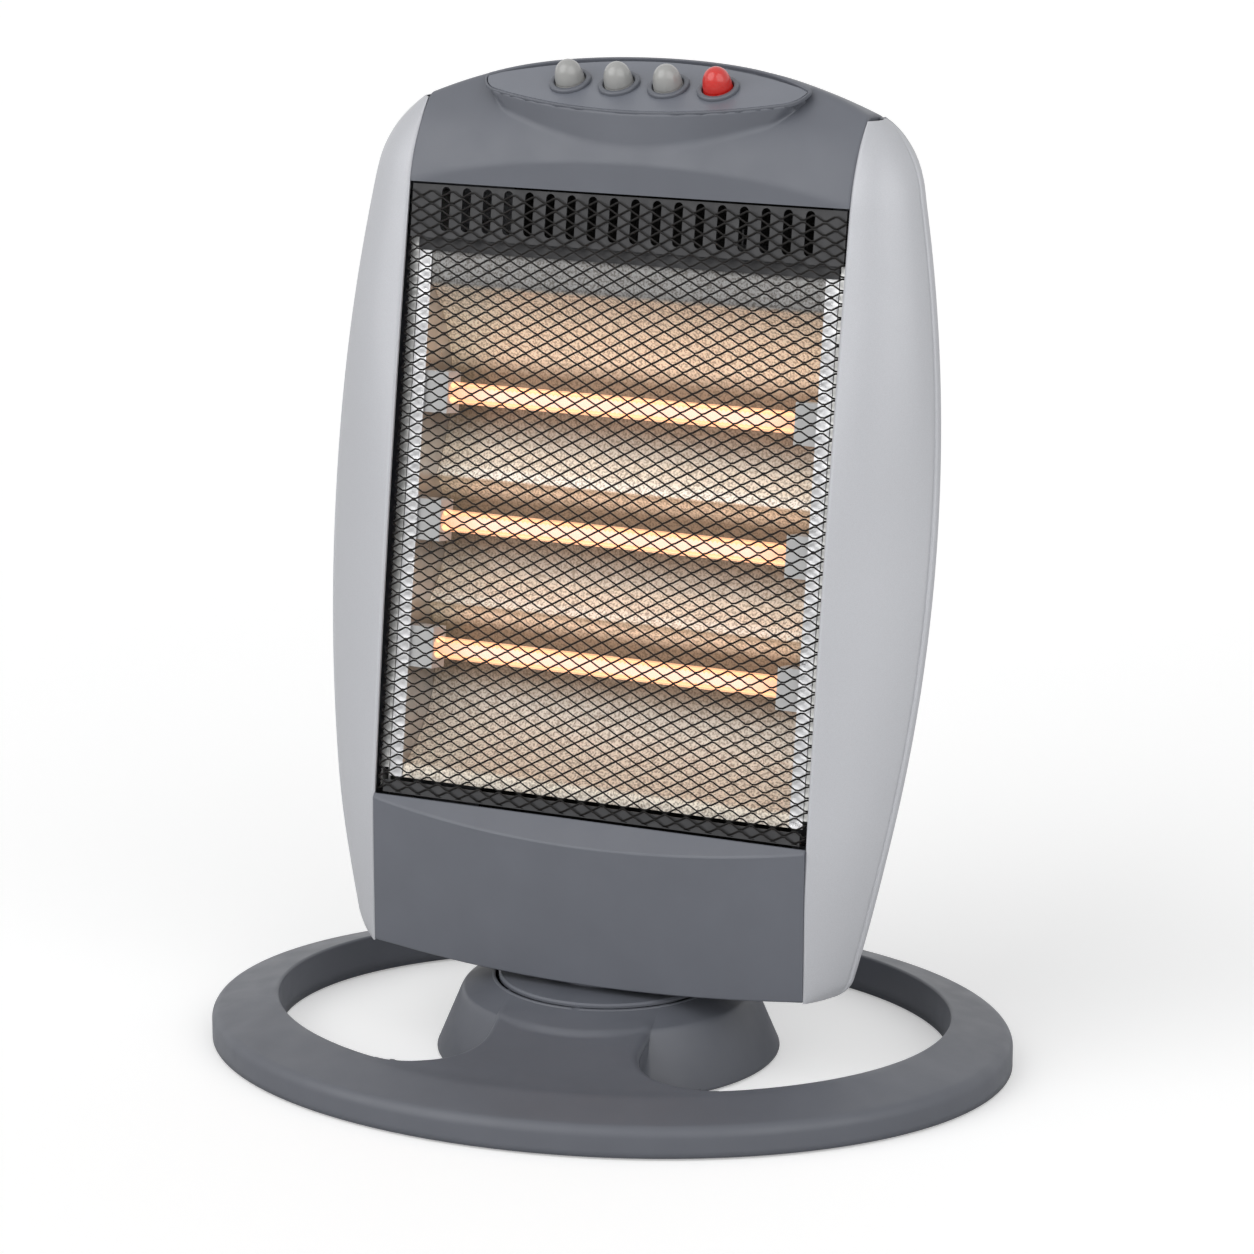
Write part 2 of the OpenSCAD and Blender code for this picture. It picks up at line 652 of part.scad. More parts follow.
// the cap's rounded front, seen from the side, w inside its face
function cap_profile(w) =
    let (c = [grille_top_y + cap_round * cos(cap_a0), grille_top_z - cap_round * sin(cap_a0)],
        r = cap_round - w,
        front = [for (i = [0:8]) let (a = cap_a0 + (cap_a1 - cap_a0) * i / 8) c + r * [-cos(a), sin(a)]],
        tip = front[8] + 60 * [sin(cap_a1), cos(cap_a1)])
    concat(front, [tip]);

cap_axis_y = (seam_x * seam_x + cap_bow * cap_bow) / (2 * cap_bow) - cap_bow;
cap_half_a = atan2(seam_x, cap_axis_y) + 1.5;
frown_top = 15;
frown_y = cap_bow - cap_round * (cos(cap_a0) - sqrt(1 - pow(sin(cap_a0) + frown_top / cap_round, 2)));
pod_front_y = grille_top_y + 1.95;
pod_front_r = (pow(pod_w / 2 - pod_tip_r, 2) + pod_bow * pod_bow - pod_tip_r * pod_tip_r) / (2 * (pod_bow - pod_tip_r));
pod_tip_a = asin((pod_w / 2 - pod_tip_r) / (pod_front_r - pod_tip_r));
pod_to_buttons = 20.05;
lens_z = top_z - 24.7;
panel_origin = [0, pod_front_y + pod_to_buttons, lens_z + pod_to_buttons * tan(panel_tilt)];

// a frame on the control panel: z square to its face
module on_panel_seat() {
    translate(panel_origin) rotate([panel_tilt, 0, 0]) children();
}

module on_panel() {
    on_turntable() on_panel_seat() children();
}

// the control panel's front, seen from above: a shallow arc between two round tips, open to the back
module pod_outline(inset) {
    half = (pod_front_r - inset) * sin(pod_tip_a);
    translate([0, pod_front_y + pod_bow]) {
        intersection() {
            translate([0, pod_front_r - pod_bow]) circle(r = pod_front_r - inset, $fn = 256);
            translate([-half, -50]) square([2 * half, 50 + eps]);
        }
        for (s = [-1, 1])
            translate([s * (pod_w / 2 - pod_tip_r), 0]) circle(r = pod_tip_r - inset, $fn = 64);
        translate([-pod_w / 2 + inset, 0]) square([pod_w - 2 * inset, 150]);
    }
}

// the arch over the head, which falls and rounds over behind its crest, w inside its face
module roof(w) {
    r = arch_r - w;
    translate([0, crest_y, arch_c[1]]) rotate([-90, 0, 0]) rotate_extrude($fn = 256)
        polygon([[0, -150], [r, -150], [r, 0], [r - 3.7, 15 - 0.2 * w], [r - 10, 26 - 0.4 * w],
            [r - 17.5, 35 - 0.8 * w], [r - 28, 40.5 - w], [r - 60, 41 - w], [0, 41 - w]]);
}

// the cap's whole block, w inside its faces
module cap_block(w) {
    profile = cap_profile(w);
    outline = [for (p = profile) [cap_axis_y + cap_bow - p[0], p[1]]];
    floor_z = grille_top_z - (w > 0 ? 5 : 0);
    intersection() {
        union() {
            // the rounded front carried round a tall upright axis far behind
            translate([0, cap_axis_y, 0]) rotate([0, 0, -90 - cap_half_a]) rotate_extrude(angle = 2 * cap_half_a, $fn = 360)
                polygon(concat([[cap_axis_y - 140, floor_z]], [[outline[0][0], floor_z]], outline, [[cap_axis_y - 140, 540]]));
            // the bowed front of the control panel
            translate([0, 0, floor_z]) linear_extrude(200) pod_outline(w);
        }
        translate([-seam_x + seam_gap + w, -20, floor_z]) cube([column_w - 2 * seam_gap - 2 * w, 140, 100]);
        roof(w);
        translate(panel_origin) rotate([panel_tilt, 0, 0]) translate([-200, -200, -300]) cube([400, 400, 300 - w * 1.9]);
        // the faint facet above the grille
        translate([0, grille_top_y + w, grille_top_z]) rotate([atan2(frown_y, frown_top), 0, 0])
            translate([-200, 0, -50]) cube([400, 300, 300]);
    }
}

// the seat of the control panel: its outline is the lens where the tilted plane cuts the cap
module lens(inset, z0, z1) {
    intersection() {
        translate(panel_origin) rotate([panel_tilt, 0, 0]) translate([-200, -200, z0]) cube([400, 400, z1 - z0]);
        roof(inset);
        translate([0, 0, 400]) linear_extrude(100) pod_outline(inset);
    }
}
plate_h = 1.8;
bezel_r = button_r + button_clearance + 0.4;
button_at = [for (i = [0:3]) (i - 1.5) * button_pitch];

module top_cap() {
    color(dark_grey) difference() {
        on_turntable() difference() {
            cap_block(0);
            // room for the rear cover under the back of the cap
            translate([-200, grille_top_y + 16, 300]) cube([400, 200, cap_skirt_z + 0.25 - 300]);
            difference() {
                cap_block(wall);
                lens(-1, -4.6, 1);
                on_panel_seat() for (s = [-1, 1]) translate([s * bracket_screw_x, 0, bracket_top]) cylinder(r = 4, h = 5);
            }
            lens(1.5, -plate_h, 5);
        }
        // window for the switches
        on_panel() translate([-button_pitch * 2 - 2, -10.5, -30]) cube([button_pitch * 4 + 4, 21, 40]);
        on_panel() for (s = [-1, 1]) translate([s * bracket_screw_x, 0, -8.5]) cylinder(r = 1.2, h = 4.5);
    }
}
bracket_screw_x = button_pitch * 2 + 8;
bracket_top = -8;

module control_panel() {
    color(dark_grey) difference() {
        on_turntable() lens(1.7, -plate_h + 0.02, 0);
        on_panel() for (x = button_at) translate([x, 0, -10]) cylinder(r = bezel_r + 0.1, h = 20);
    }
}

// raised rings round the buttons
module button_bezels() {
    bore = button_r + button_clearance;
    color(dark_grey) on_panel() for (x = button_at) translate([x, 0, 0]) rotate_extrude(angle = 360)
        polygon(concat([[bore, -plate_h], [bezel_r, -plate_h], [bezel_r, 0.02], [10.2, 0.02]],
            arc([9.2, 0.9], 1, 0, 90, 4), [[8.6, 1.9]], arc([8.4, 1.1], 0.8, 90, 170, 4), [[bore, 0.4]]));
}

// bell-shaped button with a stem
module button() {
    bell = [for (i = [0:10]) let (t = i / 10)
        [button_r * (1 - 0.52 * pow(t, 1.5) - 0.08 * sin(180 * t)) * sqrt(1 - pow(t, 7)) , 1.4 + (button_h - 1.4) * t]];
    rotate_extrude() polygon(concat([[0, -3], [button_r, -3], [button_r, 1.2]], bell));
    translate([0, 0, -stem_l - 3]) cylinder(r = 2.6, h = stem_l + eps);
}
stem_l = 10;

module heat_button_1() { color(button_grey) on_panel() translate([button_at[0], 0, 0]) button(); }
module heat_button_2() { color(button_grey) on_panel() translate([button_at[1], 0, 0]) button(); }
module heat_button_3() { color(button_grey) on_panel() translate([button_at[2], 0, 0]) button(); }
module swing_button() { color(signal_red) on_panel() translate([button_at[3], 0, 0]) button(); }

module switch_block() {
    top = bracket_top - 1.1;
    color(ceramic_white) on_panel() difference() {
        union() {
            translate([-button_pitch * 2 + 1, -9, top - 17]) cube([button_pitch * 4 - 2, 18, 17]);
            for (x = button_at) for (y = [-5, 5]) translate([x - 2.5, y - 0.4, top - 23]) cube([5, 0.8, 6 + eps]);
        }
        for (x = button_at) translate([x, 0, top - 10]) cylinder(r = 2.7, h = 20);
    }
}

module switch_bracket() {
    color(bright_metal) on_panel() difference() {
        translate([-bracket_screw_x - 4, -8, bracket_top - 1.05]) cube([2 * bracket_screw_x + 8, 16, 1]);
        for (x = button_at) translate([x, 0, -20]) cylinder(r = 4, h = 20);
        for (s = [-1, 1]) translate([s * bracket_screw_x, 0, -20]) cylinder(r = 1.6, h = 20);
    }
}

module switch_screws() {
    color(bright_metal) on_panel() for (s = [-1, 1])
        translate([s * bracket_screw_x, 0, bracket_top - 1.05]) pan_screw(4, 1.1, 2.6);
}

// ---------- head: chassis, grille and shields ----------

mesh_x = seam_x - 0.7;
flange_v = 6;
skin_v = 1.6;
rail_depth = 36;
rail_top = grille_l - 4;
rail_in = reflector_half + 7.3;
rail_out = seam_x - 0.5;
rail_gap = 0.45;

// upright rail with a turned front edge, on a leg that stands on the tray
module chassis_rail() {
    leg_x = seam_x - seam_gap - wall - rail_gap - 1;
    leg_y = upright_y + 12;
    leg_d = 24;
    intersection() {
        union() {
            on_slope() {
                translate([rail_out - 1, flange_v, 3]) cube([1, rail_depth, rail_top - 3]);
                translate([rail_in, flange_v, 12]) cube([rail_out - rail_in, 1, rail_top - 12]);
                translate([reflector_half + 1.4, flange_v + rail_depth - 1, 12]) cube([rail_out - reflector_half - 1.4, 1, 250]);
            }
            on_turntable() translate([leg_x, leg_y, tray_bottom + tray_h]) cube([1, leg_d, 90]);
            on_turntable() translate([leg_x - 10, leg_y, tray_bottom + tray_h]) cube([10.5, leg_d, 1.2]);
            on_turntable() translate([leg_x, leg_y, 124]) cube([rail_out - leg_x, leg_d, 1]);
        }
        on_turntable() translate([0, -100, tray_bottom + tray_h]) cube([200, 300, 500]);
    }
}

module chassis_right() {
    color(black_metal) chassis_rail();
}

module chassis_left() {
    color(black_metal) on_turntable() mirror([1, 0, 0]) rotate([0, 0, -swing_at_rest]) chassis_rail();
}

// diamond mesh with a flat border
module grille() {
    w = 2 * mesh_x;
    border = 3;
    count_x = ceil(w / mesh_w / 2) + ceil(grille_l / mesh_h / 2) + 1;
    bar_a = atan2(mesh_h, mesh_w);
    bar_l = 2 * norm([w, grille_l]);
    // sides turned back on to the rails
    color(black_metal) on_slope() for (s = [0, 1]) mirror([s, 0, 0])
        translate([mesh_x - 1, 0.4, 0.4]) cube([1, flange_v - 0.5, grille_l - 0.8]);
    color(black_metal) on_slope() translate([0, 1.3, grille_l / 2]) rotate([90, 0, 0]) linear_extrude(1) {
        intersection() {
            square([w - eps, grille_l - 1], center = true);
            union() for (s = [-1, 1]) for (i = [-count_x:count_x])
                translate([i * mesh_w, 0]) rotate(s * bar_a) square([bar_l, strand], center = true);
        }
        difference() {
            square([w, grille_l - 0.8], center = true);
            square([w - 2 * border, grille_l - 0.8 - 2 * border], center = true);
        }
    }
}

slot_pitch = 11.08;
slot_margin = 27;
slot_count = floor((2 * mesh_x - slot_margin) / slot_pitch);
slot_w = 4.6;
slot_l = 21;
shield_low = grille_l - 26.5;
shield_x = rail_in - 0.3;
sill_x = rail_out - 4;

// slotted plate behind the top of the grille, turned back along its lower edge
module heat_shield() {
    color(black_metal) on_slope() difference() {
        union() {
            translate([-mesh_x + 1.4, skin_v, shield_low]) cube([2 * mesh_x - 2.8, sheet, grille_l - 1 - shield_low]);
            translate([-shield_x, skin_v, shield_low]) cube([2 * shield_x, 26, sheet]);
            translate([-mesh_x + 1.4, skin_v, shield_low]) cube([2 * mesh_x - 2.8, flange_v - skin_v - 0.3, sheet]);
            // lip in front of the reflector's upper edge
            translate([-shield_x, flange_v - 1.1, shield_low - 6]) cube([2 * shield_x, sheet, 6 + eps]);
        }
        for (i = [0:slot_count - 1]) translate([(i - (slot_count - 1) / 2) * slot_pitch, -5, shield_low + 3.6])
            round_slot(slot_w, slot_l);
    }
}

module round_slot(w, l) {
    translate([-w / 2, 0, w / 2]) cube([w, 20, l - w]);
    for (z = [w / 2, l - w / 2]) translate([0, 0, z]) rotate([-90, 0, 0]) cylinder(r = w / 2, h = 20);
}

// dark sill behind the lower edge of the grille
module lower_shield() {
    color(black_metal) on_slope() {
        translate([-sill_x, skin_v, 0.6]) cube([2 * sill_x, sheet, 6]);
        translate([-sill_x, skin_v, 0.6]) cube([2 * sill_x, 12, sheet]);
    }
}

// ---------- head: reflector and lamps ----------

lamp_at = [for (i = [1, 0, -1]) lamp_mid + i * lamp_pitch];
reflector_top = shield_low - 0.4;
reflector_bottom = 8;
band = 21;

// points from p to q on a curve bulged by sag to the left of the way
function bowed(p, q, sag, n) = let (d = q - p, side = [-d[1], d[0]] / norm(d))
    [for (i = [0:n]) let (t = i / n) p + t * d + 4 * sag * t * (1 - t) * side];

// front face of the reflector seen from the side, as [depth, height along the slope]
ridges = [for (i = [0, 1]) [ridge_v, lamp_at[i] - ridge_drop]];
reflector_face = concat(
    [[flange_v, reflector_top]],
    bowed([flange_v + 1, reflector_top - band], ridges[0], trough * 1.35, 12),
    bowed(ridges[0], ridges[1], trough, 10),
    bowed(ridges[1], [flange_v + 1, reflector_bottom + 6], trough * 1.3, 12),
    [[flange_v, reflector_bottom]]);

module reflector() {
    back = [for (p = reversed(reflector_face)) p + [sheet, 0]];
    color(bright_metal) on_slope() rotate([90, 0, 90]) translate([0, 0, -reflector_half])
        linear_extrude(2 * reflector_half) polygon(concat(reflector_face, back));
}

// cheek at the end of the troughs with a bright flange at its front
module reflector_cheek() {
    x0 = reflector_half + 0.2;
    on_slope() difference() {
        union() {
            translate([x0 + sheet, flange_v, reflector_bottom]) rotate([0, -90, 0]) linear_extrude(sheet)
                polygon([[0, 0], [reflector_top - reflector_bottom, 0],
                    [reflector_top - reflector_bottom, 6], [reflector_top - reflector_bottom - 40, rail_depth - 1.4],
                    [30, rail_depth - 1.4], [0, 6]]);
            translate([x0, flange_v, reflector_bottom]) cube([rail_in - 0.4 - x0, sheet, reflector_top - reflector_bottom]);
        }
        for (z = lamp_at) translate([x0 - 5, lamp_v, z]) rotate([0, 90, 0]) cylinder(r = 2.2, h = 20);
    }
}

module reflector_end_right() {
    color(bright_metal) reflector_cheek();
}

module reflector_end_left() {
    color(bright_metal) on_turntable() mirror([1, 0, 0]) rotate([0, 0, -swing_at_rest]) reflector_cheek();
}

tube_end = reflector_half - 2.5;

module quartz_tube(z) {
    color(lamp_glow) on_slope() translate([-tube_end, lamp_v, z]) rotate([0, 90, 0]) difference() {
        cylinder(r = tube_r, h = 2 * tube_end);
        translate([0, 0, -1]) cylinder(r = tube_r - 1, h = 2 * tube_end + 2);
    }
}

module lamp_top() { quartz_tube(lamp_at[0]); }
module lamp_middle() { quartz_tube(lamp_at[1]); }
module lamp_bottom() { quartz_tube(lamp_at[2]); }

// heating coils on their end plugs
module filaments() {
    color(lamp_glow) on_slope() for (z = lamp_at) translate([-tube_end, lamp_v, z]) rotate([0, 90, 0]) {
        cylinder(r = tube_r - 1.05, h = 6);
        translate([0, 0, 6 - eps]) cylinder(r = 2.2, h = 2 * tube_end - 12 + 2 * eps);
        translate([0, 0, 2 * tube_end - 6]) cylinder(r = tube_r - 1.05, h = 6);
    }
}

// white holders at the ends of the lamps
module ceramic_ends() {
    h = 20;
    d = 13;
    color(ceramic_white) on_slope() for (z = lamp_at) for (s = [0, 1]) mirror([s, 0, 0]) difference() {
        translate([lamp_half, lamp_v - d / 2, z - h / 2]) cube([reflector_half + 0.15 - lamp_half, d, h]);
        translate([lamp_half - 1, lamp_v, z]) rotate([0, 90, 0]) cylinder(r = tube_r + 0.1, h = tube_end + 1.1 - lamp_half);
        translate([lamp_half, lamp_v, z]) rotate([0, 90, 0]) cylinder(r = 2, h = 40);
    }
}

// studs and tags behind the cheeks
module lamp_terminals() {
    x0 = tube_end + 0.1;
    color(bright_metal) on_slope() for (z = lamp_at) for (s = [0, 1]) mirror([s, 0, 0]) {
        translate([x0, lamp_v, z]) rotate([0, 90, 0]) cylinder(r = 1.9, h = rail_out - 2 - x0);
        translate([reflector_half + 0.2 + sheet + 0.1, lamp_v - 3, z - 3]) cube([0.8, 14, 6]);
    }
}

module thermal_cutout() {
    color(black_metal) on_slope() translate([60, 16, shield_low + sheet + 0.05]) {
        cylinder(r = 8, h = 6);
        translate([-12, -3.5, 0]) cube([24, 7, 1]);
        for (s = [-1, 1]) translate([s * 4 - 0.4, -2.5, 6 - eps]) cube([0.8, 5, 7]);
    }
}

module terminal_block() {
    color(ceramic_white) on_turntable() translate([28, 6, tray_bottom + tray_h]) difference() {
        union() {
            cube([42, 16, 8]);
            for (i = [0:3]) translate([2.5 + i * 10, 3, 0]) cube([7, 10, 13]);
        }
        for (i = [0:3]) translate([6 + i * 10, 8, 6]) cylinder(r = 1.8, h = 20);
    }
}

module tilt_switch() {
    color(black_metal) on_turntable() translate([-62, 4, tray_bottom + tray_h]) {
        cube([26, 16, 20]);
        translate([-6, 4, 0]) cube([38, 8, 1.6]);
    }
}

base_moulding();
base_cover();
rubber_feet();
base_screws();
cord_gland();
slide_ring();
swing_motor();
motor_screws();
crank();
turntable();
retaining_washer();
swing_arm();
hub_screws();
bottom_tray();
tray_screws();
lower_panel();
side_panel_left();
side_panel_right();
rear_cover();
rear_cover_screws();
top_cap();
control_panel();
button_bezels();
heat_button_1();
heat_button_2();
heat_button_3();
swing_button();
switch_block();
switch_bracket();
switch_screws();
chassis_left();
chassis_right();
grille();
heat_shield();
lower_shield();
reflector();
reflector_end_left();
reflector_end_right();
lamp_top();
lamp_middle();
lamp_bottom();
filaments();
ceramic_ends();
lamp_terminals();
thermal_cutout();
terminal_block();
tilt_switch();
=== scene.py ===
"""Looks of an oscillating halogen heater: its mouldings, wire grille, reflector, lamps and buttons.

Laid out as an add-on and run as a script. Lengths in the formulas are millimetres in the head's own
frame (x across, y into the head, z up), and place() turns them with the head and gives metres.
"""

import math

import bmesh
import bpy
import numpy as np
from bpy.props import FloatProperty, FloatVectorProperty, IntProperty, PointerProperty
from bpy.types import Operator, Panel, PropertyGroup
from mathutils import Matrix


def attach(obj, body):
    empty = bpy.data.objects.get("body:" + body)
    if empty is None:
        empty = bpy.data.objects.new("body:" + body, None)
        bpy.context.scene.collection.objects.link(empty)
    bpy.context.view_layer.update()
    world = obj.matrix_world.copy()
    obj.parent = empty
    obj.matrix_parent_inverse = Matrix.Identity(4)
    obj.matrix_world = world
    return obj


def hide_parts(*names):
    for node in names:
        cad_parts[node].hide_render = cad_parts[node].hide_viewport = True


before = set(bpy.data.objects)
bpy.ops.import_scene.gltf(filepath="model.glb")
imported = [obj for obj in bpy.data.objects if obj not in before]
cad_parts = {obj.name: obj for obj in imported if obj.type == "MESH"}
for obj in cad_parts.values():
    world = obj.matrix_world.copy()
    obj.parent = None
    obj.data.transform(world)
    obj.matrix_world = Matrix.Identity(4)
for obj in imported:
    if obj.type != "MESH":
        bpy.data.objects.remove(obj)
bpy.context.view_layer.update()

bl_info = {
    "name": "Halogen heater",
    "version": (1, 0, 0),
    "blender": (4, 5, 0),
    "location": "View3D > Sidebar > Heater",
    "description": "Builds the looks of an oscillating halogen heater round its CAD frame",
    "category": "Object",
}

# ---------- sizes shared with the construction, in millimetres and radians ----------

MM = 0.001
SWING_AT_REST = math.radians(-9.0)
SEAM_X = 114.3
BARREL_R, BARREL_C = 800.0, (158.4 - 800.0, 258.0)
ARCH_R, ARCH_Z = 292.0, 477.5 - 292.0
CREST_Y = 45.0
SHOULDER_R = 46.0
HEAD_Z = 46.0
FOOT_ROUND = 9.0
WALL = 2.4
SEAM_GAP = 0.25
SEAM_LINE = 0.4
PART_BACK, PART_SHARE = 12, 0.4
LEAN = math.radians(8.6)
GRILLE_Y, GRILLE_Z, GRILLE_L = -26.3, 121.3, 296.6
GRILLE_TOP_Y = GRILLE_Y + GRILLE_L * math.sin(LEAN)
GRILLE_TOP_Z = GRILLE_Z + GRILLE_L * math.cos(LEAN)
UPRIGHT_Y = GRILLE_Y - 1.7
BEND_Z0, BEND_R, BEND_A = GRILLE_Z - 33.0, 350.0, math.radians(6.6)
BEND_Z1 = BEND_Z0 + BEND_R * math.sin(BEND_A)
BEND_Y1 = UPRIGHT_Y + BEND_R * (1 - math.cos(BEND_A))
BOW_A = 2 * math.atan2(GRILLE_TOP_Y - BEND_Y1, GRILLE_TOP_Z - BEND_Z1) - BEND_A
BOW_R = (GRILLE_TOP_Z - BEND_Z1) / (math.sin(BOW_A) - math.sin(BEND_A))
CAP_BOW, CAP_ROUND = 5.5, 75.0
CAP_A0, CAP_A1 = math.radians(12.0), math.radians(44.0)
CAP_Z1 = GRILLE_TOP_Z + CAP_ROUND * (math.sin(CAP_A1) - math.sin(CAP_A0))
CAP_Y1 = GRILLE_TOP_Y + CAP_ROUND * (math.cos(CAP_A0) - math.cos(CAP_A1))
PANEL_TILT = math.radians(27.0)
POD_W, POD_BOW, POD_TIP_R = 169.0, 24.4, 14.0
POD_FRONT_Y = GRILLE_TOP_Y + 1.95
LENS_Z = 477.5 - 24.7
PANEL_Y = POD_FRONT_Y + 20.05
PANEL_Z = LENS_Z + 20.05 * math.tan(PANEL_TILT)
BUTTON_PITCH, BUTTON_R, BUTTON_H, BUTTON_SKIRT = 25.5, 7.2, 12.0, 1.9
MESH_X = SEAM_X - 0.7
FLANGE_V = 6.0
LAMP_AT = (196.3, 134.3, 72.3)
LAMP_V = 14.5
TUBE_R = 5.25
REFLECTOR_HALF = 102.0
TUBE_END = REFLECTOR_HALF - 2.5
RIDGE_V, RIDGE_DROP, TROUGH, REFLECTOR_SHEET = 24.0, 41.0, 14.0, 0.8
BASE_RX, BASE_RY, FOOT_GAP = 198.0, 153.0, 1.2
RIM_ROUND, RIM_TOP, RING_SLOPE = 6.0, 10.2, math.radians(12.0)
OPEN_RX, OPEN_RY, OPEN_SHIFT = 166.5, 128.0, 6.0
HALF_BRIDGE, CORNER_R = 38.0, 32.0
PEDESTAL_FOOT_R, PEDESTAL_TOP_R, BEVEL_Z, PEDESTAL_H = 83.5, 71.0, 31.0, 37.0
WELL_R, WELL_Z, HUB_BORE_R = 54.0, 33.6, 18.05
REFLECTOR_TOP, REFLECTOR_BOTTOM, BAND = GRILLE_L - 26.9, 8.0, 21.0


# ---------- the head's outline ----------

def shoulder():
    """Centre and start angle of the shoulder circle, which touches the barrel side and the arched top from inside."""
    c1, r1 = np.array(BARREL_C), BARREL_R - SHOULDER_R
    c2, r2 = np.array((0.0, ARCH_Z)), ARCH_R - SHOULDER_R
    d = np.linalg.norm(c2 - c1)
    a = (r1 * r1 - r2 * r2 + d * d) / (2 * d)
    h = math.sqrt(r1 * r1 - a * a)
    e = (c2 - c1) / d
    m = c1 + a * e
    centre = np.array((m[0] - h * e[1], m[1] + h * e[0]))
    return centre, math.atan2(centre[1] - BARREL_C[1], centre[0] - BARREL_C[0])


SHOULDER_C, SHOULDER_A0 = shoulder()
SHOULDER_A1 = math.radians(62)
SHOULDER_Z = BARREL_C[1] + BARREL_R * math.sin(SHOULDER_A0)


def outline_x(z):
    """Half width at height z: the barrel's circle, drawn in by a quarter circle at the foot, then the shoulder's."""
    barrel = BARREL_C[0] + np.sqrt(BARREL_R ** 2 - (z - BARREL_C[1]) ** 2)
    low = np.clip(HEAD_Z + FOOT_ROUND - z, 0, FOOT_ROUND)
    foot = FOOT_ROUND - np.sqrt(FOOT_ROUND ** 2 - low ** 2)
    top = SHOULDER_C[0] + np.sqrt(np.clip(SHOULDER_R ** 2 - (z - SHOULDER_C[1]) ** 2, 0, None))
    return np.where(z < SHOULDER_Z, barrel - foot, top)


def seam_y(z):
    """Depth of the seam at height z: upright, a short arc, a long shallow one, the cap's round, then a slope."""
    rise = np.clip(z - BEND_Z0, 0, BEND_R)
    bend = UPRIGHT_Y + BEND_R - np.sqrt(BEND_R ** 2 - rise ** 2)
    s = np.clip(math.sin(BEND_A) + (z - BEND_Z1) / BOW_R, -1, 1)
    bow = BEND_Y1 + BOW_R * (math.cos(BEND_A) - np.sqrt(1 - s * s))
    s = np.clip(math.sin(CAP_A0) + (z - GRILLE_TOP_Z) / CAP_ROUND, -1, 1)
    cap = GRILLE_TOP_Y + CAP_ROUND * (math.cos(CAP_A0) - np.sqrt(1 - s * s))
    slope = CAP_Y1 + (z - CAP_Z1) * math.tan(CAP_A1)
    below = [z < BEND_Z0, z < BEND_Z1, z < GRILLE_TOP_Z, z < CAP_Z1]
    return np.select(below, [UPRIGHT_Y + 0 * z, bend, bow, cap], slope)


def part_y(z):
    """Depth at which a side panel ends and the rear cover starts: the seam's, 12 more, and 0.4 of the panel's width."""
    return seam_y(z) + PART_BACK + PART_SHARE * np.maximum(0, outline_x(z) - SEAM_X)


# ---------- frames and meshes ----------

def place(points):
    """Head frame in millimetres to the shared frame in metres: a turn about the upright axis by the swing at rest."""
    x, y, z = np.asarray(points, float).reshape(-1, 3).T
    c, s = math.cos(SWING_AT_REST), math.sin(SWING_AT_REST)
    return np.stack([x * c - y * s, x * s + y * c, z], 1) * MM


def on_slope(x, v, s):
    """Grille frame (x across, v behind it, s up its slope) to the head frame: a lean back about the lower edge."""
    x, v, s = np.broadcast_arrays(x, v, s)
    cos, sin = math.cos(LEAN), math.sin(LEAN)
    return np.stack([x, GRILLE_Y + v * cos + s * sin, GRILLE_Z - v * sin + s * cos], -1)


def on_panel(x, y, z):
    """Control panel frame (z square to its face) to the head frame: a tilt about the line through the buttons."""
    x, y, z = np.broadcast_arrays(x, y, z)
    c, s = math.cos(PANEL_TILT), math.sin(PANEL_TILT)
    return np.stack([x, PANEL_Y + y * c - z * s, PANEL_Z + y * s + z * c], -1)


def grid_quads(rows, columns, closed_rows=False, closed_columns=False):
    """Quads between neighbours of a rows x columns grid, whose last row or column may join the first."""
    i = np.arange(rows if closed_rows else rows - 1)
    j = np.arange(columns if closed_columns else columns - 1)
    i, j = np.meshgrid(i, j, indexing="ij")
    a = i * columns + j
    b = i * columns + (j + 1) % columns
    c = ((i + 1) % rows) * columns + (j + 1) % columns
    d = ((i + 1) % rows) * columns + j
    return np.stack([a, b, c, d], -1).reshape(-1, 4)


def volume(points, quads):
    """Signed volume of a closed surface of quads: the sum of its tetrahedra about the first point."""
    p = np.asarray(points).reshape(-1, 3)
    p = p - p[0]
    a, b, c, d = (p[quads[:, k]] for k in range(4))
    return (np.einsum("ij,ij->i", a, np.cross(b, c)) + np.einsum("ij,ij->i", a, np.cross(c, d))).sum() / 6


def right_side_out(points, quads):
    """The quads of a closed surface, all turned round if its volume comes out negative."""
    return quads if volume(points, quads) > 0 else quads[:, ::-1]


def facing(points, quads, way):
    """Points and quads, these all turned round if on the whole their normals are against the way."""
    p = points.reshape(-1, 3)
    a, b, c, d = (p[quads[:, k]] for k in range(4))
    along = (np.cross(c - a, d - b) * way((a + b + c + d) / 4)).sum() > 0
    return points, quads if along else quads[:, ::-1]


def turned_from(points, quads, inner, outward=True):
    """The quads, each turned round where needed so that it faces away from the points in inner, or towards them."""
    p = points.reshape(-1, 3)
    a, b, c, d = (p[quads[:, k]] for k in range(4))
    away = np.einsum("ij,ij->i", np.cross(c - a, d - b), (a + b + c + d) / 4 - inner(quads, p))
    wrong = away < 0 if outward else away > 0
    return np.where(wrong[:, None], quads[:, ::-1], quads)


def strip(a, b):
    """Quads between two lines of points."""
    points = np.stack([a, b])
    return points, grid_quads(2, len(a))


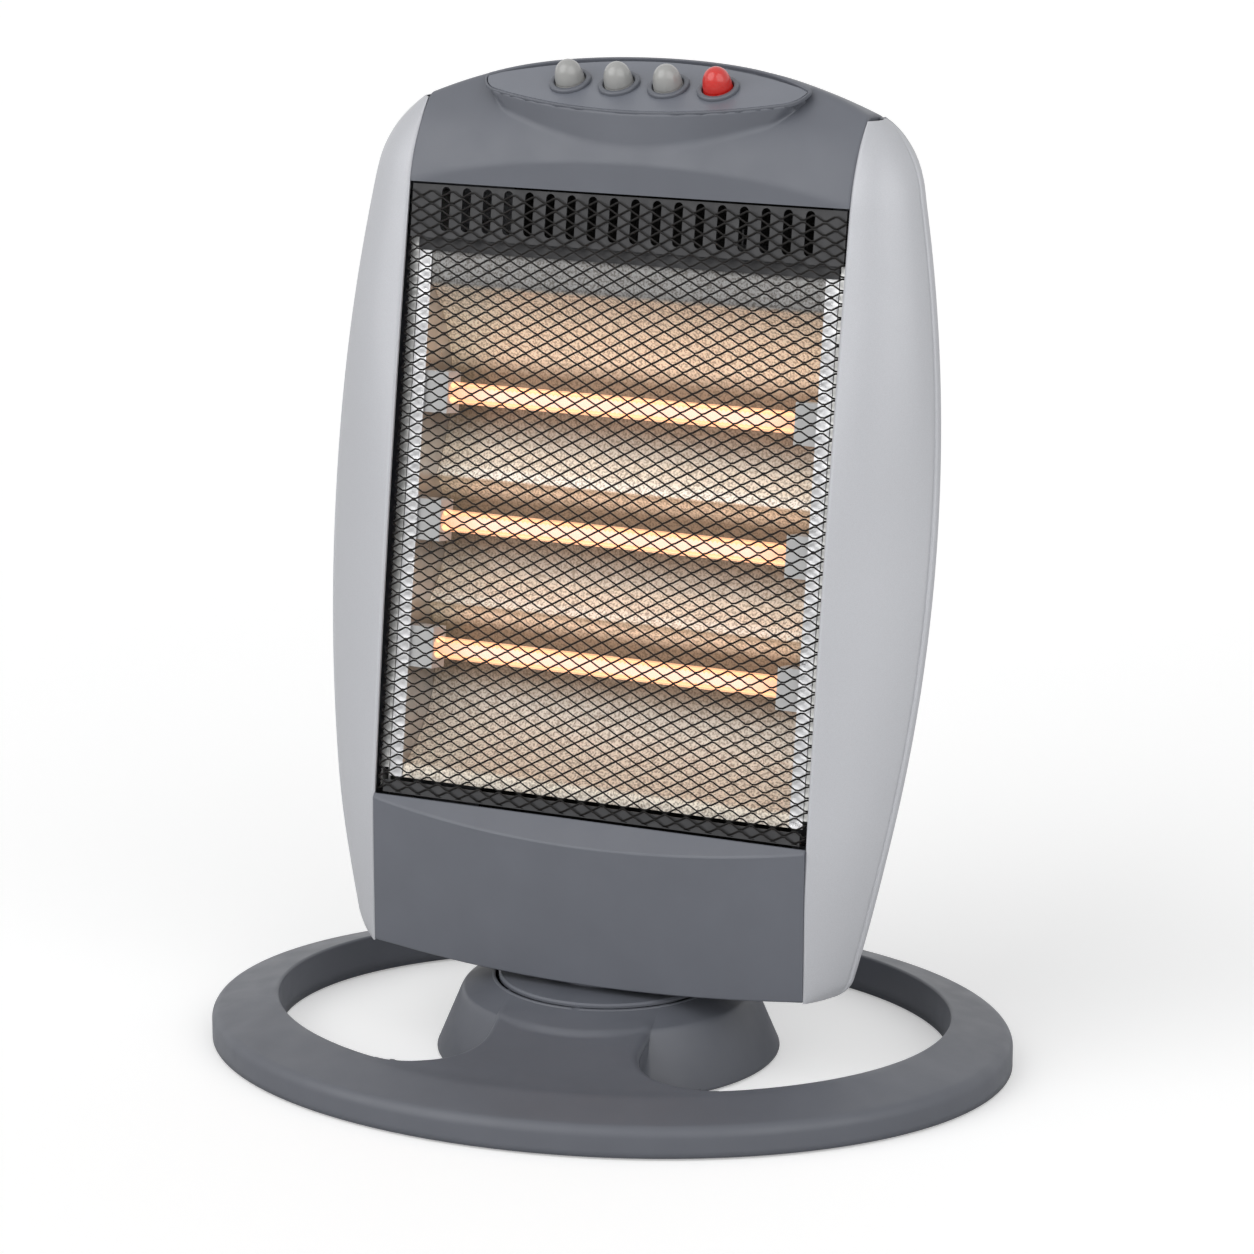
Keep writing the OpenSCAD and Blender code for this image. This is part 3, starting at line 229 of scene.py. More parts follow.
def tube_stack(rings):
    """Closed tubes through rings of points, shape (tubes, rings, sides, 3), with a fan of quads at both ends."""
    tubes, count, sides, _ = rings.shape
    quads = grid_quads(count, sides, closed_columns=True)
    pairs = np.arange(sides // 2 - 1)
    low = np.stack([0 * pairs, sides - 1 - 2 * pairs, sides - 2 - 2 * pairs, sides - 3 - 2 * pairs], 1)
    ends = np.concatenate([low, (low + (count - 1) * sides)[:, ::-1]])
    one = right_side_out(rings[0], np.concatenate([quads[:, ::-1], ends[:, ::-1]]))
    offsets = np.arange(tubes) * count * sides
    return rings.reshape(-1, 3), (one[None] + offsets[:, None, None]).reshape(-1, 4)


def joined(parts):
    """Several (points, quads) as one."""
    start, all_points, all_quads = 0, [], []
    for points, quads in parts:
        points = np.asarray(points).reshape(-1, 3)
        all_points.append(points)
        all_quads.append(quads + start)
        start += len(points)
    return np.concatenate(all_points), np.concatenate(all_quads)


def linked(name, data):
    """A new object of that name with that mesh, light or camera, in the scene."""
    thing = bpy.data.objects.new(name, data)
    bpy.context.scene.collection.objects.link(thing)
    return thing


def merged(source, target, near, thin):
    """Copies a mesh into another, joins its points that are nearer than near and drops faces thinner than thin."""
    work = bmesh.new()
    work.from_mesh(source)
    bmesh.ops.remove_doubles(work, verts=work.verts, dist=near)
    bmesh.ops.dissolve_degenerate(work, edges=work.edges, dist=thin)
    work.to_mesh(target)
    work.free()


def new_piece(name, points, quads, material, body, nodes=(), sharp=50, uv=None, triangles=()):
    """Makes a mesh piece from whole arrays, in place, gives it its finish, ties it to its body and hides the nodes it
    stands for.
    """
    mesh = bpy.data.meshes.new(name)
    points = points * MM if body == "base" else place(points)
    mesh.from_pydata(points.tolist(), [], quads.tolist() + np.asarray(triangles, int).tolist())
    if uv is not None:
        layer = mesh.uv_layers.new(name="along")
        corners = np.zeros(len(mesh.loops), np.int32)
        mesh.loops.foreach_get("vertex_index", corners)
        layer.data.foreach_set("uv", np.asarray(uv, np.float32).reshape(-1, 2)[corners].ravel())
    mesh.validate()
    mesh.update()
    return dressed(linked(name, mesh), material, body, nodes, sharp)


def dressed(piece, material, body, nodes, sharp):
    """Gives a piece its finish and smooth shading with sharp edges kept, and ties it to the frame."""
    mesh = piece.data
    mesh.materials.clear()
    mesh.materials.append(material)
    mesh.polygons.foreach_set("use_smooth", np.ones(len(mesh.polygons), bool))
    mesh.set_sharp_from_angle(angle=math.radians(sharp))
    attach(piece, body)
    if nodes:
        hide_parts(*nodes)
    return piece


def softened_copy(node, name, material, edge=0.0, narrower=0.0):
    """A merged copy of a dark CAD node of the head, for the same node: its sharp edges get a small round of that size,
    and it is drawn in across the head by a share of its width."""
    mesh = bpy.data.meshes.new(name)
    merged(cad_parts[node].data, mesh, 2e-6, 2e-6)
    if narrower:
        points = np.zeros(3 * len(mesh.vertices))
        mesh.vertices.foreach_get("co", points)
        points = points.reshape(-1, 3)
        across = np.array([math.cos(SWING_AT_REST), math.sin(SWING_AT_REST), 0])
        mesh.vertices.foreach_set("co", (points - narrower * (points @ across)[:, None] * across).ravel())
    if mesh.attributes.get("custom_normal"):
        mesh.attributes.remove(mesh.attributes["custom_normal"])
    piece = dressed(linked(name, mesh), material, "head", (node,), 30)
    if edge:
        bevel = piece.modifiers.new("edge round", "BEVEL")
        bevel.width = edge * MM
        bevel.segments = 2
        bevel.limit_method = "ANGLE"
        bevel.angle_limit = math.radians(38)
        bevel.use_clamp_overlap = True
        bevel.harden_normals = False


# ---------- finishes ----------

NOISE_LOW, NOISE_HIGH = 0.3, 0.7
PATCH_DETAIL = 3.0


def set_inputs(node, **values):
    """Sets a node's inputs, each named with _ for a space, and gives the node back."""
    for name, value in values.items():
        node.inputs[name.replace("_", " ")].default_value = value
    return node


def new_nodes(tree, *kinds):
    """New shader nodes of the given kinds in a tree that is emptied first."""
    tree.nodes.clear()
    return [tree.nodes.new("ShaderNode" + kind) for kind in kinds]


class Finish:
    """A material under construction: a Principled shader with detail driven by the piece's own coordinates."""

    def __init__(self, name, colour, roughness, metallic=0.0, specular=0.5):
        self.material = bpy.data.materials.new(name)
        self.material.use_nodes = True
        self.nodes = self.material.node_tree.nodes
        self.links = self.material.node_tree.links
        out, self.shader, self.coords = new_nodes(
            self.material.node_tree, "OutputMaterial", "BsdfPrincipled", "TexCoord")
        self.links.new(self.shader.outputs[0], out.inputs["Surface"])
        set_inputs(self.shader, Base_Color=(*colour, 1), Roughness=roughness, Metallic=metallic)
        set_inputs(self.shader, Specular_IOR_Level=specular)
        self.colour = colour
        self.normal = None

    def noise(self, scale, detail=2.0, stretch=(1, 1, 1)):
        """Noise over the piece's own coordinates in metres, stretched along an axis by its share."""
        mapping = set_inputs(self.nodes.new("ShaderNodeMapping"), Scale=stretch)
        self.links.new(self.coords.outputs["Object"], mapping.inputs["Vector"])
        noise = set_inputs(self.nodes.new("ShaderNodeTexNoise"), Scale=scale, Detail=detail)
        self.links.new(mapping.outputs[0], noise.inputs["Vector"])
        return noise.outputs["Fac"]

    def along(self, axis):
        """The piece's own UV, along X or Y."""
        split = self.nodes.new("ShaderNodeSeparateXYZ")
        self.links.new(self.coords.outputs["UV"], split.inputs[0])
        return split.outputs[axis]

    def spread(self, value, low, high):
        """The usual range of a noise value, spread between low and high."""
        node = set_inputs(self.nodes.new("ShaderNodeMapRange"), From_Min=NOISE_LOW, From_Max=NOISE_HIGH, To_Min=low,
                          To_Max=high)
        self.links.new(value, node.inputs["Value"])
        return node.outputs["Result"]

    def ramp(self, value, stops):
        """Colour by value, through stops of (position, colour)."""
        node = self.nodes.new("ShaderNodeValToRGB")
        while len(node.color_ramp.elements) > 1:
            node.color_ramp.elements.remove(node.color_ramp.elements[-1])
        first, *rest = stops
        node.color_ramp.elements[0].position = first[0]
        node.color_ramp.elements[0].color = (*first[1], 1)
        for position, colour in rest:
            node.color_ramp.elements.new(position).color = (*colour, 1)
        self.links.new(value, node.inputs["Fac"])
        return node.outputs["Color"]

    def mottled(self, scale, amount):
        """Colour variation: the base colour a little darker and lighter over soft patches."""
        low = tuple(c * (1 - amount) for c in self.colour)
        high = tuple(min(1, c * (1 + amount)) for c in self.colour)
        patches = self.ramp(self.noise(scale, PATCH_DETAIL), [(NOISE_LOW, low), (NOISE_HIGH, high)])
        self.links.new(patches, self.shader.inputs["Base Color"])
        return self

    def worn(self, low, high, scale):
        """Roughness that wanders between two values."""
        self.links.new(self.spread(self.noise(scale, PATCH_DETAIL), low, high), self.shader.inputs["Roughness"])
        return self

    def grain(self, scale, depth, detail=2.0, stretch=(1, 1, 1)):
        """Surface grain: a bump whose height is depth metres at full noise."""
        bump = set_inputs(self.nodes.new("ShaderNodeBump"), Strength=1.0, Distance=depth)
        self.links.new(self.noise(scale, detail, stretch), bump.inputs["Height"])
        if self.normal is not None:
            self.links.new(self.normal, bump.inputs["Normal"])
        self.normal = bump.outputs["Normal"]
        self.links.new(self.normal, self.shader.inputs["Normal"])
        return self


def plastic(name, colour, roughness=0.42, grain=0.00002):
    """Moulded plastic: fine spark-eroded grain, a slight sheen that wanders, and hardly visible flow patches."""
    return (Finish(name, colour, roughness).mottled(38, 0.035).worn(roughness - 0.05, roughness + 0.06, 60)
            .grain(2600, grain, 1.0)).material


def glossy_plastic(name, colour):
    """Polished plastic: a faint orange peel and a gloss that hardly wanders."""
    f = Finish(name, colour, 0.20).worn(0.18, 0.24, 30).grain(240, 0.000006, 1.0)
    set_inputs(f.shader, Specular_IOR_Level=0.7)
    return f.material


def sheet_metal(name, colour, roughness, brush=(1, 1, 1), metallic=1.0):
    """Rolled sheet: fine rolling lines along one way, soft stains and a roughness that wanders."""
    return (Finish(name, colour, roughness, metallic).mottled(70, 0.10).worn(roughness - 0.08, roughness + 0.10, 120)
            .grain(900, 0.00003, 2.0, brush)).material


_finishes = {}


def finish(name):
    """The named finish, made once from the colours in the panel."""
    if name not in _finishes:
        c = bpy.context.scene.heater_colours
        _finishes[name] = {
            "dark_plastic": lambda: plastic("dark plastic", tuple(c.dark_plastic), 0.43),
            # A darker copy of the dark plastic: painted shade on the base.
            "shaded_base_plastic": lambda: plastic("shaded base plastic", tuple(0.88 * v for v in c.dark_plastic), 0.45),
            # A lighter copy of the dark plastic: painted light for the extra light the tilted control panel catches,
            # with a lower roughness as well.
            "lit_panel_plastic": lambda: plastic("lit panel plastic", tuple(1.38 * v for v in c.dark_plastic), 0.36),
            "silver_plastic": lambda: silver_paint(tuple(c.silver_paint)),
            "button_grey": lambda: glossy_plastic("grey button", tuple(c.grey_button)),
            "signal_red": lambda: glossy_plastic("red button", tuple(c.red_button)),
            "rubber": lambda: plastic("rubber", (0.022, 0.022, 0.024), 0.75, 0.00005),
            "white_plastic": lambda: plastic("white plastic", (0.72, 0.71, 0.67), 0.4),
            "bright_steel": lambda: sheet_metal("bright steel", (0.60, 0.60, 0.61), 0.34, (1, 1, 8)),
            "zinc_steel": lambda: sheet_metal("zinc steel", (0.55, 0.55, 0.54), 0.42),
            "dark_steel": lambda: sheet_metal("dark steel", (0.030, 0.030, 0.032), 0.50, metallic=0.2),
            "ceramic": lambda: plastic("ceramic", (0.62, 0.62, 0.62), 0.55, 0.00004),
            # Near-black: painted shade, for the sheet that stands for the dark inside of the head behind the louvres.
            "shade_black": lambda: plastic("shade_black", (0.004, 0.004, 0.004), 0.9),
            "black_plastic": lambda: plastic("black plastic", (0.03, 0.03, 0.032), 0.45),
        }[name]()
    return _finishes[name]


def silver_paint(colour):
    """Silver-grey paint on plastic: fine flake in colour and gloss over a soft satin coat."""
    f = Finish("silver paint", colour, 0.40, 0.12)
    low, high = tuple(v * 0.955 for v in colour), tuple(min(1, v * 1.045) for v in colour)
    f.links.new(f.ramp(f.noise(3400, 1.0), [(0.36, low), (0.64, high)]), f.shader.inputs["Base Color"])
    f.worn(0.36, 0.46, 48).grain(2900, 0.000012, 1.0)
    return f.material


# ---------- the properties that a user would change ----------

class HeaterSizes(PropertyGroup):
    """Sizes of the surfaces that are worked out here."""
    mesh_across: FloatProperty(
        name="Mesh pitch across", description="Width of one diamond of the wire grille",
        default=0.011, min=0.006, max=0.02, unit="LENGTH")
    mesh_up: FloatProperty(
        name="Mesh pitch up", description="Height of one diamond of the wire grille",
        default=0.0062, min=0.004, max=0.012, unit="LENGTH")
    strand: FloatProperty(
        name="Strand width", description="Width of a strand of the wire grille",
        default=0.00090, min=0.0003, max=0.0015, unit="LENGTH")
    rim_bead: FloatProperty(
        name="Rim bead", description="Height of the bead along the rear edge of the side panels",
        default=0.0005, min=0.0, max=0.001, unit="LENGTH")
    coil_turns: IntProperty(
        name="Coil turns", description="Turns of the heating coil in each lamp",
        default=74, min=20, max=160)
    edge_round: FloatProperty(
        name="Edge round", description="Rounding of the edges of the moulded parts",
        default=0.0007, min=0.0001, max=0.002, unit="LENGTH")


class HeaterColours(PropertyGroup):
    """Colours of the finishes, as linear values."""
    dark_plastic: FloatVectorProperty(
        name="Dark plastic", description="Colour of the base, cap and lower panel",
        subtype="COLOR", size=3, min=0, max=1, default=(0.119, 0.127, 0.149))
    silver_paint: FloatVectorProperty(
        name="Silver paint", description="Colour of the side panels",
        subtype="COLOR", size=3, min=0, max=1, default=(0.485, 0.493, 0.52))
    grey_button: FloatVectorProperty(
        name="Grey buttons", description="Colour of the three heat buttons",
        subtype="COLOR", size=3, min=0, max=1, default=(0.34, 0.34, 0.332))
    red_button: FloatVectorProperty(
        name="Red button", description="Colour of the swing button",
        subtype="COLOR", size=3, min=0, max=1, default=(0.62, 0.020, 0.014))
    wire: FloatVectorProperty(
        name="Grille wire", description="Colour of the wire grille",
        subtype="COLOR", size=3, min=0, max=1, default=(0.007, 0.006, 0.0055))
    glow: FloatVectorProperty(
        name="Lamp glow", description="Colour of the light of the coils",
        subtype="COLOR", size=3, min=0, max=1, default=(0.94, 0.93, 1.0))


class HeaterLight(PropertyGroup):
    """Light of the studio and of the lamps."""
    world: FloatProperty(
        name="Sky light", description="Strength of the even white surroundings",
        default=0.448, min=0, max=2)
    key: FloatProperty(
        name="Key light", description="Strength of the soft light from the front left",
        default=1.36, min=0, max=10)
    fill: FloatProperty(
        name="Fill light", description="Strength of the soft light from the right",
        default=0.95, min=0, max=10)
    glow: FloatProperty(
        name="Glow", description="Strength of the heating coils",
        default=0.58, min=0, max=20)


# ---------- base ----------

SLOPE_E = BASE_RX - RIM_ROUND + RIM_ROUND * math.sin(RING_SLOPE)
SLOPE_Z = RIM_TOP + RIM_ROUND * math.cos(RING_SLOPE)
RING_Z = SLOPE_Z + (SLOPE_E - OPEN_RX) * math.tan(RING_SLOPE)
RAMP_Y0, RAMP_Y1, RAMP_Z = 58.0, 122.0, BEVEL_Z + 1.6
CORNER_X = HALF_BRIDGE + CORNER_R
TOUCH_COS = 0.87
TOUCH_X = CORNER_X * OPEN_RX / (OPEN_RX - CORNER_R * TOUCH_COS)
TOUCH_Y = OPEN_RY * math.sqrt(1 - (TOUCH_X / OPEN_RX) ** 2)
TOUCH_A = math.atan2(TOUCH_Y / OPEN_RY ** 2, TOUCH_X / OPEN_RX ** 2)
CORNER_Y = TOUCH_Y - CORNER_R * math.sin(TOUCH_A)
CONE_FALL = (BEVEL_Z - FOOT_GAP) / (PEDESTAL_FOOT_R - PEDESTAL_TOP_R)
OVAL_ROUND, BRIDGE_ROUND = 1.5, 2.3
BEVEL_SOFT, PEDESTAL_SOFT = 2.6, 4.2
RAMP_FADE, RAMP_HALF, RAMP_SIDE = 18, 95, 30
FILLET_MIN_WALL, FILLET_SHARE, FILLET_MAX, FILLET_CLEAR = 2.2, 0.8, 7.0, 20


def soft_max(a, b, k):
    """The greater of two fields, blended by a parabola where they differ by less than k."""
    h = np.clip(0.5 + 0.5 * (a - b) / k, 0, 1)
    return b * (1 - h) + a * h + k * h * (1 - h)


def smooth_step(t):
    """0 up to 0, 1 from 1, and 3 t^2 - 2 t^3 between."""
    t = np.clip(t, 0, 1)
    return t * t * (3 - 2 * t)


def edge_drop(inside, radius):
    """How far a surface falls towards its edge, rounded over by a quarter circle: r - sqrt(r^2 - (r - inside)^2)."""
    near = np.clip(radius - inside, 0, radius)
    return radius - np.sqrt(radius ** 2 - near ** 2)


def from_opening(x, y):
    """Distance from the nearer opening, and the round of its edge: the bridge's straight side, the corner circle, or
    the oval, whose distance is its level over its slope."""
    x, y = np.abs(x), np.abs(y - OPEN_SHIFT)
    level = np.hypot(x / OPEN_RX, y / OPEN_RY)
    oval = (level - 1) * level / np.hypot(x / OPEN_RX ** 2, y / OPEN_RY ** 2)
    turn = np.arctan2(y - CORNER_Y, x - CORNER_X)
    corner = np.hypot(x - CORNER_X, y - CORNER_Y) - CORNER_R
    by_bridge = (y < CORNER_Y) & (x < CORNER_X)
    by_corner = (y >= CORNER_Y) & (turn > TOUCH_A)
    away = np.where(by_bridge, HALF_BRIDGE - x, np.where(by_corner, corner, oval))
    share = np.where(by_bridge, 1.0, np.where(by_corner, (turn - TOUCH_A) / (np.pi - TOUCH_A), 0.0))
    return np.clip(away, 0, None), OVAL_ROUND + BRIDGE_ROUND * smooth_step(share)


def pedestal_z(r):
    """Height of the pedestal at radius r: flat, a bevel, then the steep cone, with the bend between them rounded."""
    bevel = BEVEL_Z + (PEDESTAL_TOP_R - r) * (PEDESTAL_H - BEVEL_Z) / (PEDESTAL_TOP_R - WELL_R - 1)
    cone = BEVEL_Z - (r - PEDESTAL_TOP_R) * CONE_FALL
    return np.minimum(-soft_max(-bevel, -cone, BEVEL_SOFT), PEDESTAL_H)


def base_z(x, y):
    """Height of ring and bridges: the ring slopes down to its rim, ramps rise by 0.4 t + 0.6 t^2 towards the pedestal
    and fade out on the ring, the pedestal is blended in, and every opening's edge is rounded over."""
    level = np.hypot(x, y * BASE_RX / BASE_RY)
    ring = SLOPE_Z + (SLOPE_E - np.maximum(level, OPEN_RX)) * math.tan(RING_SLOPE)
    t = np.clip((RAMP_Y1 - np.abs(y)) / (RAMP_Y1 - RAMP_Y0), 0, 1)
    fade = smooth_step((OPEN_RX - level) / RAMP_FADE) * smooth_step((RAMP_HALF - np.abs(x)) / RAMP_SIDE)
    ramp = (RAMP_Z - RING_Z) * (0.4 * t + 0.6 * t * t) * fade
    inside, radius = from_opening(x, y)
    return soft_max(ring + ramp - edge_drop(inside, radius), pedestal_z(np.hypot(x, y)), PEDESTAL_SOFT)


def opening_side(n_straight, n_corner):
    """The right side of the front bridge seen from above: straight from the well's circle, then round the corner."""
    y0 = math.sqrt(WELL_R ** 2 - HALF_BRIDGE ** 2)
    y1 = CORNER_Y - OPEN_SHIFT
    straight = np.stack([np.full(n_straight, HALF_BRIDGE), np.linspace(y0, y1, n_straight)], 1)
    a = np.linspace(np.pi, TOUCH_A, n_corner)[1:]
    return straight, np.stack([CORNER_X + CORNER_R * np.cos(a), y1 + CORNER_R * np.sin(a)], 1)


def bridge(side):
    """A bridge in plan: ruled from the well's circle to the oval, and bowed as both openings' sides are. Along the
    bridge the bow fades out towards its middle. side is -1 in front, and 1 behind, where the openings reach further
    back."""
    shift = 2 * OPEN_SHIFT if side > 0 else 0.0
    straight, corner = opening_side(34, 26)
    y0, y1 = straight[0, 1], straight[-1, 1]
    straight[:, 1] = y0 + (straight[:, 1] - y0) * (y1 + shift - y0) / (y1 - y0)
    right = np.concatenate([straight, corner + [0, shift]])
    inset = np.array([0, 0.1, 0.35, 0.75, 1.3, 2.0, 2.8, 3.8, 5.0]) / (2 * HALF_BRIDGE)
    c = np.concatenate([inset, np.linspace(inset[-1], 1 - inset[-1], 19)[1:-1], 1 - inset[::-1]])
    length = np.concatenate([[0], np.cumsum(np.linalg.norm(np.diff(right, axis=0), axis=1))])
    t = (length / length[-1])[:, None, None]
    left = right * [-1, 1]
    a0 = math.acos(HALF_BRIDGE / WELL_R)
    a = np.pi - a0 + (2 * a0 - np.pi) * c
    low = WELL_R * np.stack([np.cos(a), np.sin(a)], 1)
    b0 = math.atan2(TOUCH_Y / OPEN_RY, TOUCH_X / OPEN_RX)
    b = np.pi - b0 + (2 * b0 - np.pi) * c
    high = np.stack([OPEN_RX * np.cos(b), OPEN_RY * np.sin(b) + shift - OPEN_SHIFT], 1)
    k = c[None, :, None]
    bow_left = left[:, None] - (1 - t) * left[0] - t * left[-1]
    bow_right = right[:, None] - (1 - t) * right[0] - t * right[-1]
    bow = (1 - k) * bow_left + k * bow_right
    bow[..., 1] *= smooth_step((np.abs(2 * c - 1) - 0.3) / 0.6)
    flat = (1 - t) * low[None] + t * high[None] + bow
    x, y = flat[..., 0], side * flat[..., 1]
    return np.stack([x, y, base_z(x, y)], -1)


def skirt(edge, low=FOOT_GAP, rows=3):
    """A wall straight down from a line of points."""
    t = np.linspace(0, 1, rows)[:, None]
    points = np.repeat(edge[None], rows, 0)
    points[..., 2] = edge[None, :, 2] * (1 - t) + low * t
    return points


def pedestal_flank(side):
    """The cone between the bridges, on one side. Beside each bridge it runs up into the bridge's wall with a round
    whose radius grows with the wall's height h: z = cone + (r - sqrt(r^2 - (r - d)^2)) / cos(slope) at distance d."""
    u = np.unique(np.concatenate([np.linspace(0, 0.10, 4), np.linspace(0.10, 0.48, 12), np.linspace(0.48, 0.64, 14),
                                  np.linspace(0.64, 1, 24)]))
    v = np.linspace(-1, 1, 121)
    v = np.sign(v) * (1 - (1 - np.abs(v)) ** 1.5)
    tilt = math.sqrt(1 + CONE_FALL ** 2)
    reach = np.full(len(v), PEDESTAL_FOOT_R)
    for _ in range(6):
        r = WELL_R + (reach[None] - WELL_R) * u[:, None]
        a = np.arccos(HALF_BRIDGE / r) * v[None]
        x, y = r * np.cos(a), r * np.sin(a)
        away = x - HALF_BRIDGE
        wall = base_z(HALF_BRIDGE + 0 * y, y) - np.maximum(pedestal_z(np.hypot(HALF_BRIDGE, y)), FOOT_GAP)
        radius = np.clip((wall - FILLET_MIN_WALL) / tilt * FILLET_SHARE, 1e-3, FILLET_MAX) * (np.abs(y) > FILLET_CLEAR)
        rise = edge_drop(away, np.maximum(radius, 1e-3)) * tilt
        reach = PEDESTAL_FOOT_R + rise[-1] / CONE_FALL
    return np.stack([side * x, y, pedestal_z(r) + rise], -1)


def ring_columns(front, back):
    """Where the ring's columns start on the oval, which are the bridges' ends and between them even steps along each
    opening, and which of them are in a bridge."""
    b0 = math.atan2(TOUCH_Y / OPEN_RY, TOUCH_X / OPEN_RX)
    b = np.linspace(-b0, b0, 112)[1:-1]
    right = np.stack([OPEN_RX * np.cos(b), OPEN_RY * np.sin(b) + OPEN_SHIFT], 1)
    start = np.concatenate([front, right, back[::-1], (right * [-1, 1])[::-1]])
    return start, np.repeat([True, False, True, False], [len(front), len(right), len(back), len(right)])


def base_surface():
    """The whole upper surface: ring, two bridges with their walls, two flanks, and the turntable's well."""
    front, back = bridge(-1), bridge(1)
    start, in_bridge = ring_columns(front[-1, :, :2], back[-1, :, :2])
    level = np.hypot(start[:, 0], start[:, 1] * BASE_RX / BASE_RY)
    inset = np.array([0, 0.08, 0.25, 0.5, 0.85, 1.3, 1.9, 2.7])[:, None] * level / np.hypot(start[:, 0], start[:, 1])
    slope = level + inset[-1] + (SLOPE_E - level - inset[-1]) * np.linspace(0, 1, 12)[1:, None]
    a = np.linspace(RING_SLOPE, np.pi / 2, 10)[1:, None]
    rim = BASE_RX - RIM_ROUND + RIM_ROUND * np.sin(a) + 0 * level
    rows = np.concatenate([level + inset, slope, rim])
    x, y = start[None, :, 0] * rows / level, start[None, :, 1] * rows / level
    z = base_z(x, y)
    z[-len(a):] = RIM_TOP + RIM_ROUND * np.cos(a)
    ring = np.stack([x, y, z], -1)
    outer = skirt(ring[-1], rows=4)[1:]
    ring = np.concatenate([ring, outer])
    inner = skirt(ring[0], rows=4)
    wall = grid_quads(4, len(start), closed_columns=True)
    j = wall[:, 0] % len(start)
    wall = wall[~(in_bridge[j] & in_bridge[(j + 1) % len(start)])]
    up, outward, inward = np.array([0, 0, 1]), np.array([1, 1, 0]), np.array([-1, -1, 0])
    parts = [facing(ring, grid_quads(len(ring), len(start), closed_columns=True), lambda p: up),
             facing(inner, wall, lambda p: p * inward)]
    for piece in (front, back):
        parts.append(facing(piece, grid_quads(*piece.shape[:2]), lambda p: up))
        for column in (0, -1):
            parts.append(facing(skirt(piece[:, column]), grid_quads(3, len(piece)), lambda p: p * [1, 0, 0]))
    for side in (-1, 1):
        flank = pedestal_flank(side)
        parts.append(facing(flank, grid_quads(*flank.shape[:2]), lambda p: p * outward))
    b = np.linspace(0, 2 * np.pi, 180, endpoint=False)
    profile = np.array([(WELL_R, PEDESTAL_H), (WELL_R, PEDESTAL_H - 1), (WELL_R, WELL_Z), (WELL_R - 2, WELL_Z),
                        (HUB_BORE_R, WELL_Z)])
    well = np.stack([profile[:, :1] * np.cos(b), profile[:, :1] * np.sin(b), profile[:, 1:] + 0 * b], -1)
    parts.append(facing(well, grid_quads(len(profile), len(b), closed_columns=True), lambda p: p * inward + 40 * up))
    return joined(parts)


class HEATER_OT_base(Operator):
    """Makes the base moulding: oval ring, two bridges and the pedestal with its well, as a shell of even wall"""
    bl_idname = "heater.base"
    bl_label = "Base"

    def execute(self, context):
        points, quads = base_surface()
        # The base, in the darker copy of the dark plastic, which is painted shade.
        grey = finish("shaded_base_plastic")
        piece = new_piece("base_shell", points, quads, grey, "base", ("base_moulding",))
        merged(piece.data, piece.data, 5e-6, 1e-6)
        piece.data.set_sharp_from_angle(angle=math.radians(50))
        shell = piece.modifiers.new("wall", "SOLIDIFY")
        shell.thickness = WALL * MM
        shell.offset = -1
        return {"FINISHED"}


# ---------- side panels ----------

CROWN, CROWN_MORE, CROWN_START, CROWN_RISE = 0.08, 0.1, 20, 130
BEAD_AT, BEAD_WIDTH, GROOVE_AT, GROOVE_WIDTH = 2.0, 0.9, 3.6, 0.45


def crown(z):
    """Crown as a share of the panel's width, which grows by a half cosine near the top."""
    t = np.clip((z - BARREL_C[1] + CROWN_START) / CROWN_RISE, 0, 1)
    return CROWN + CROWN_MORE * (1 - np.cos(np.pi * t)) / 2


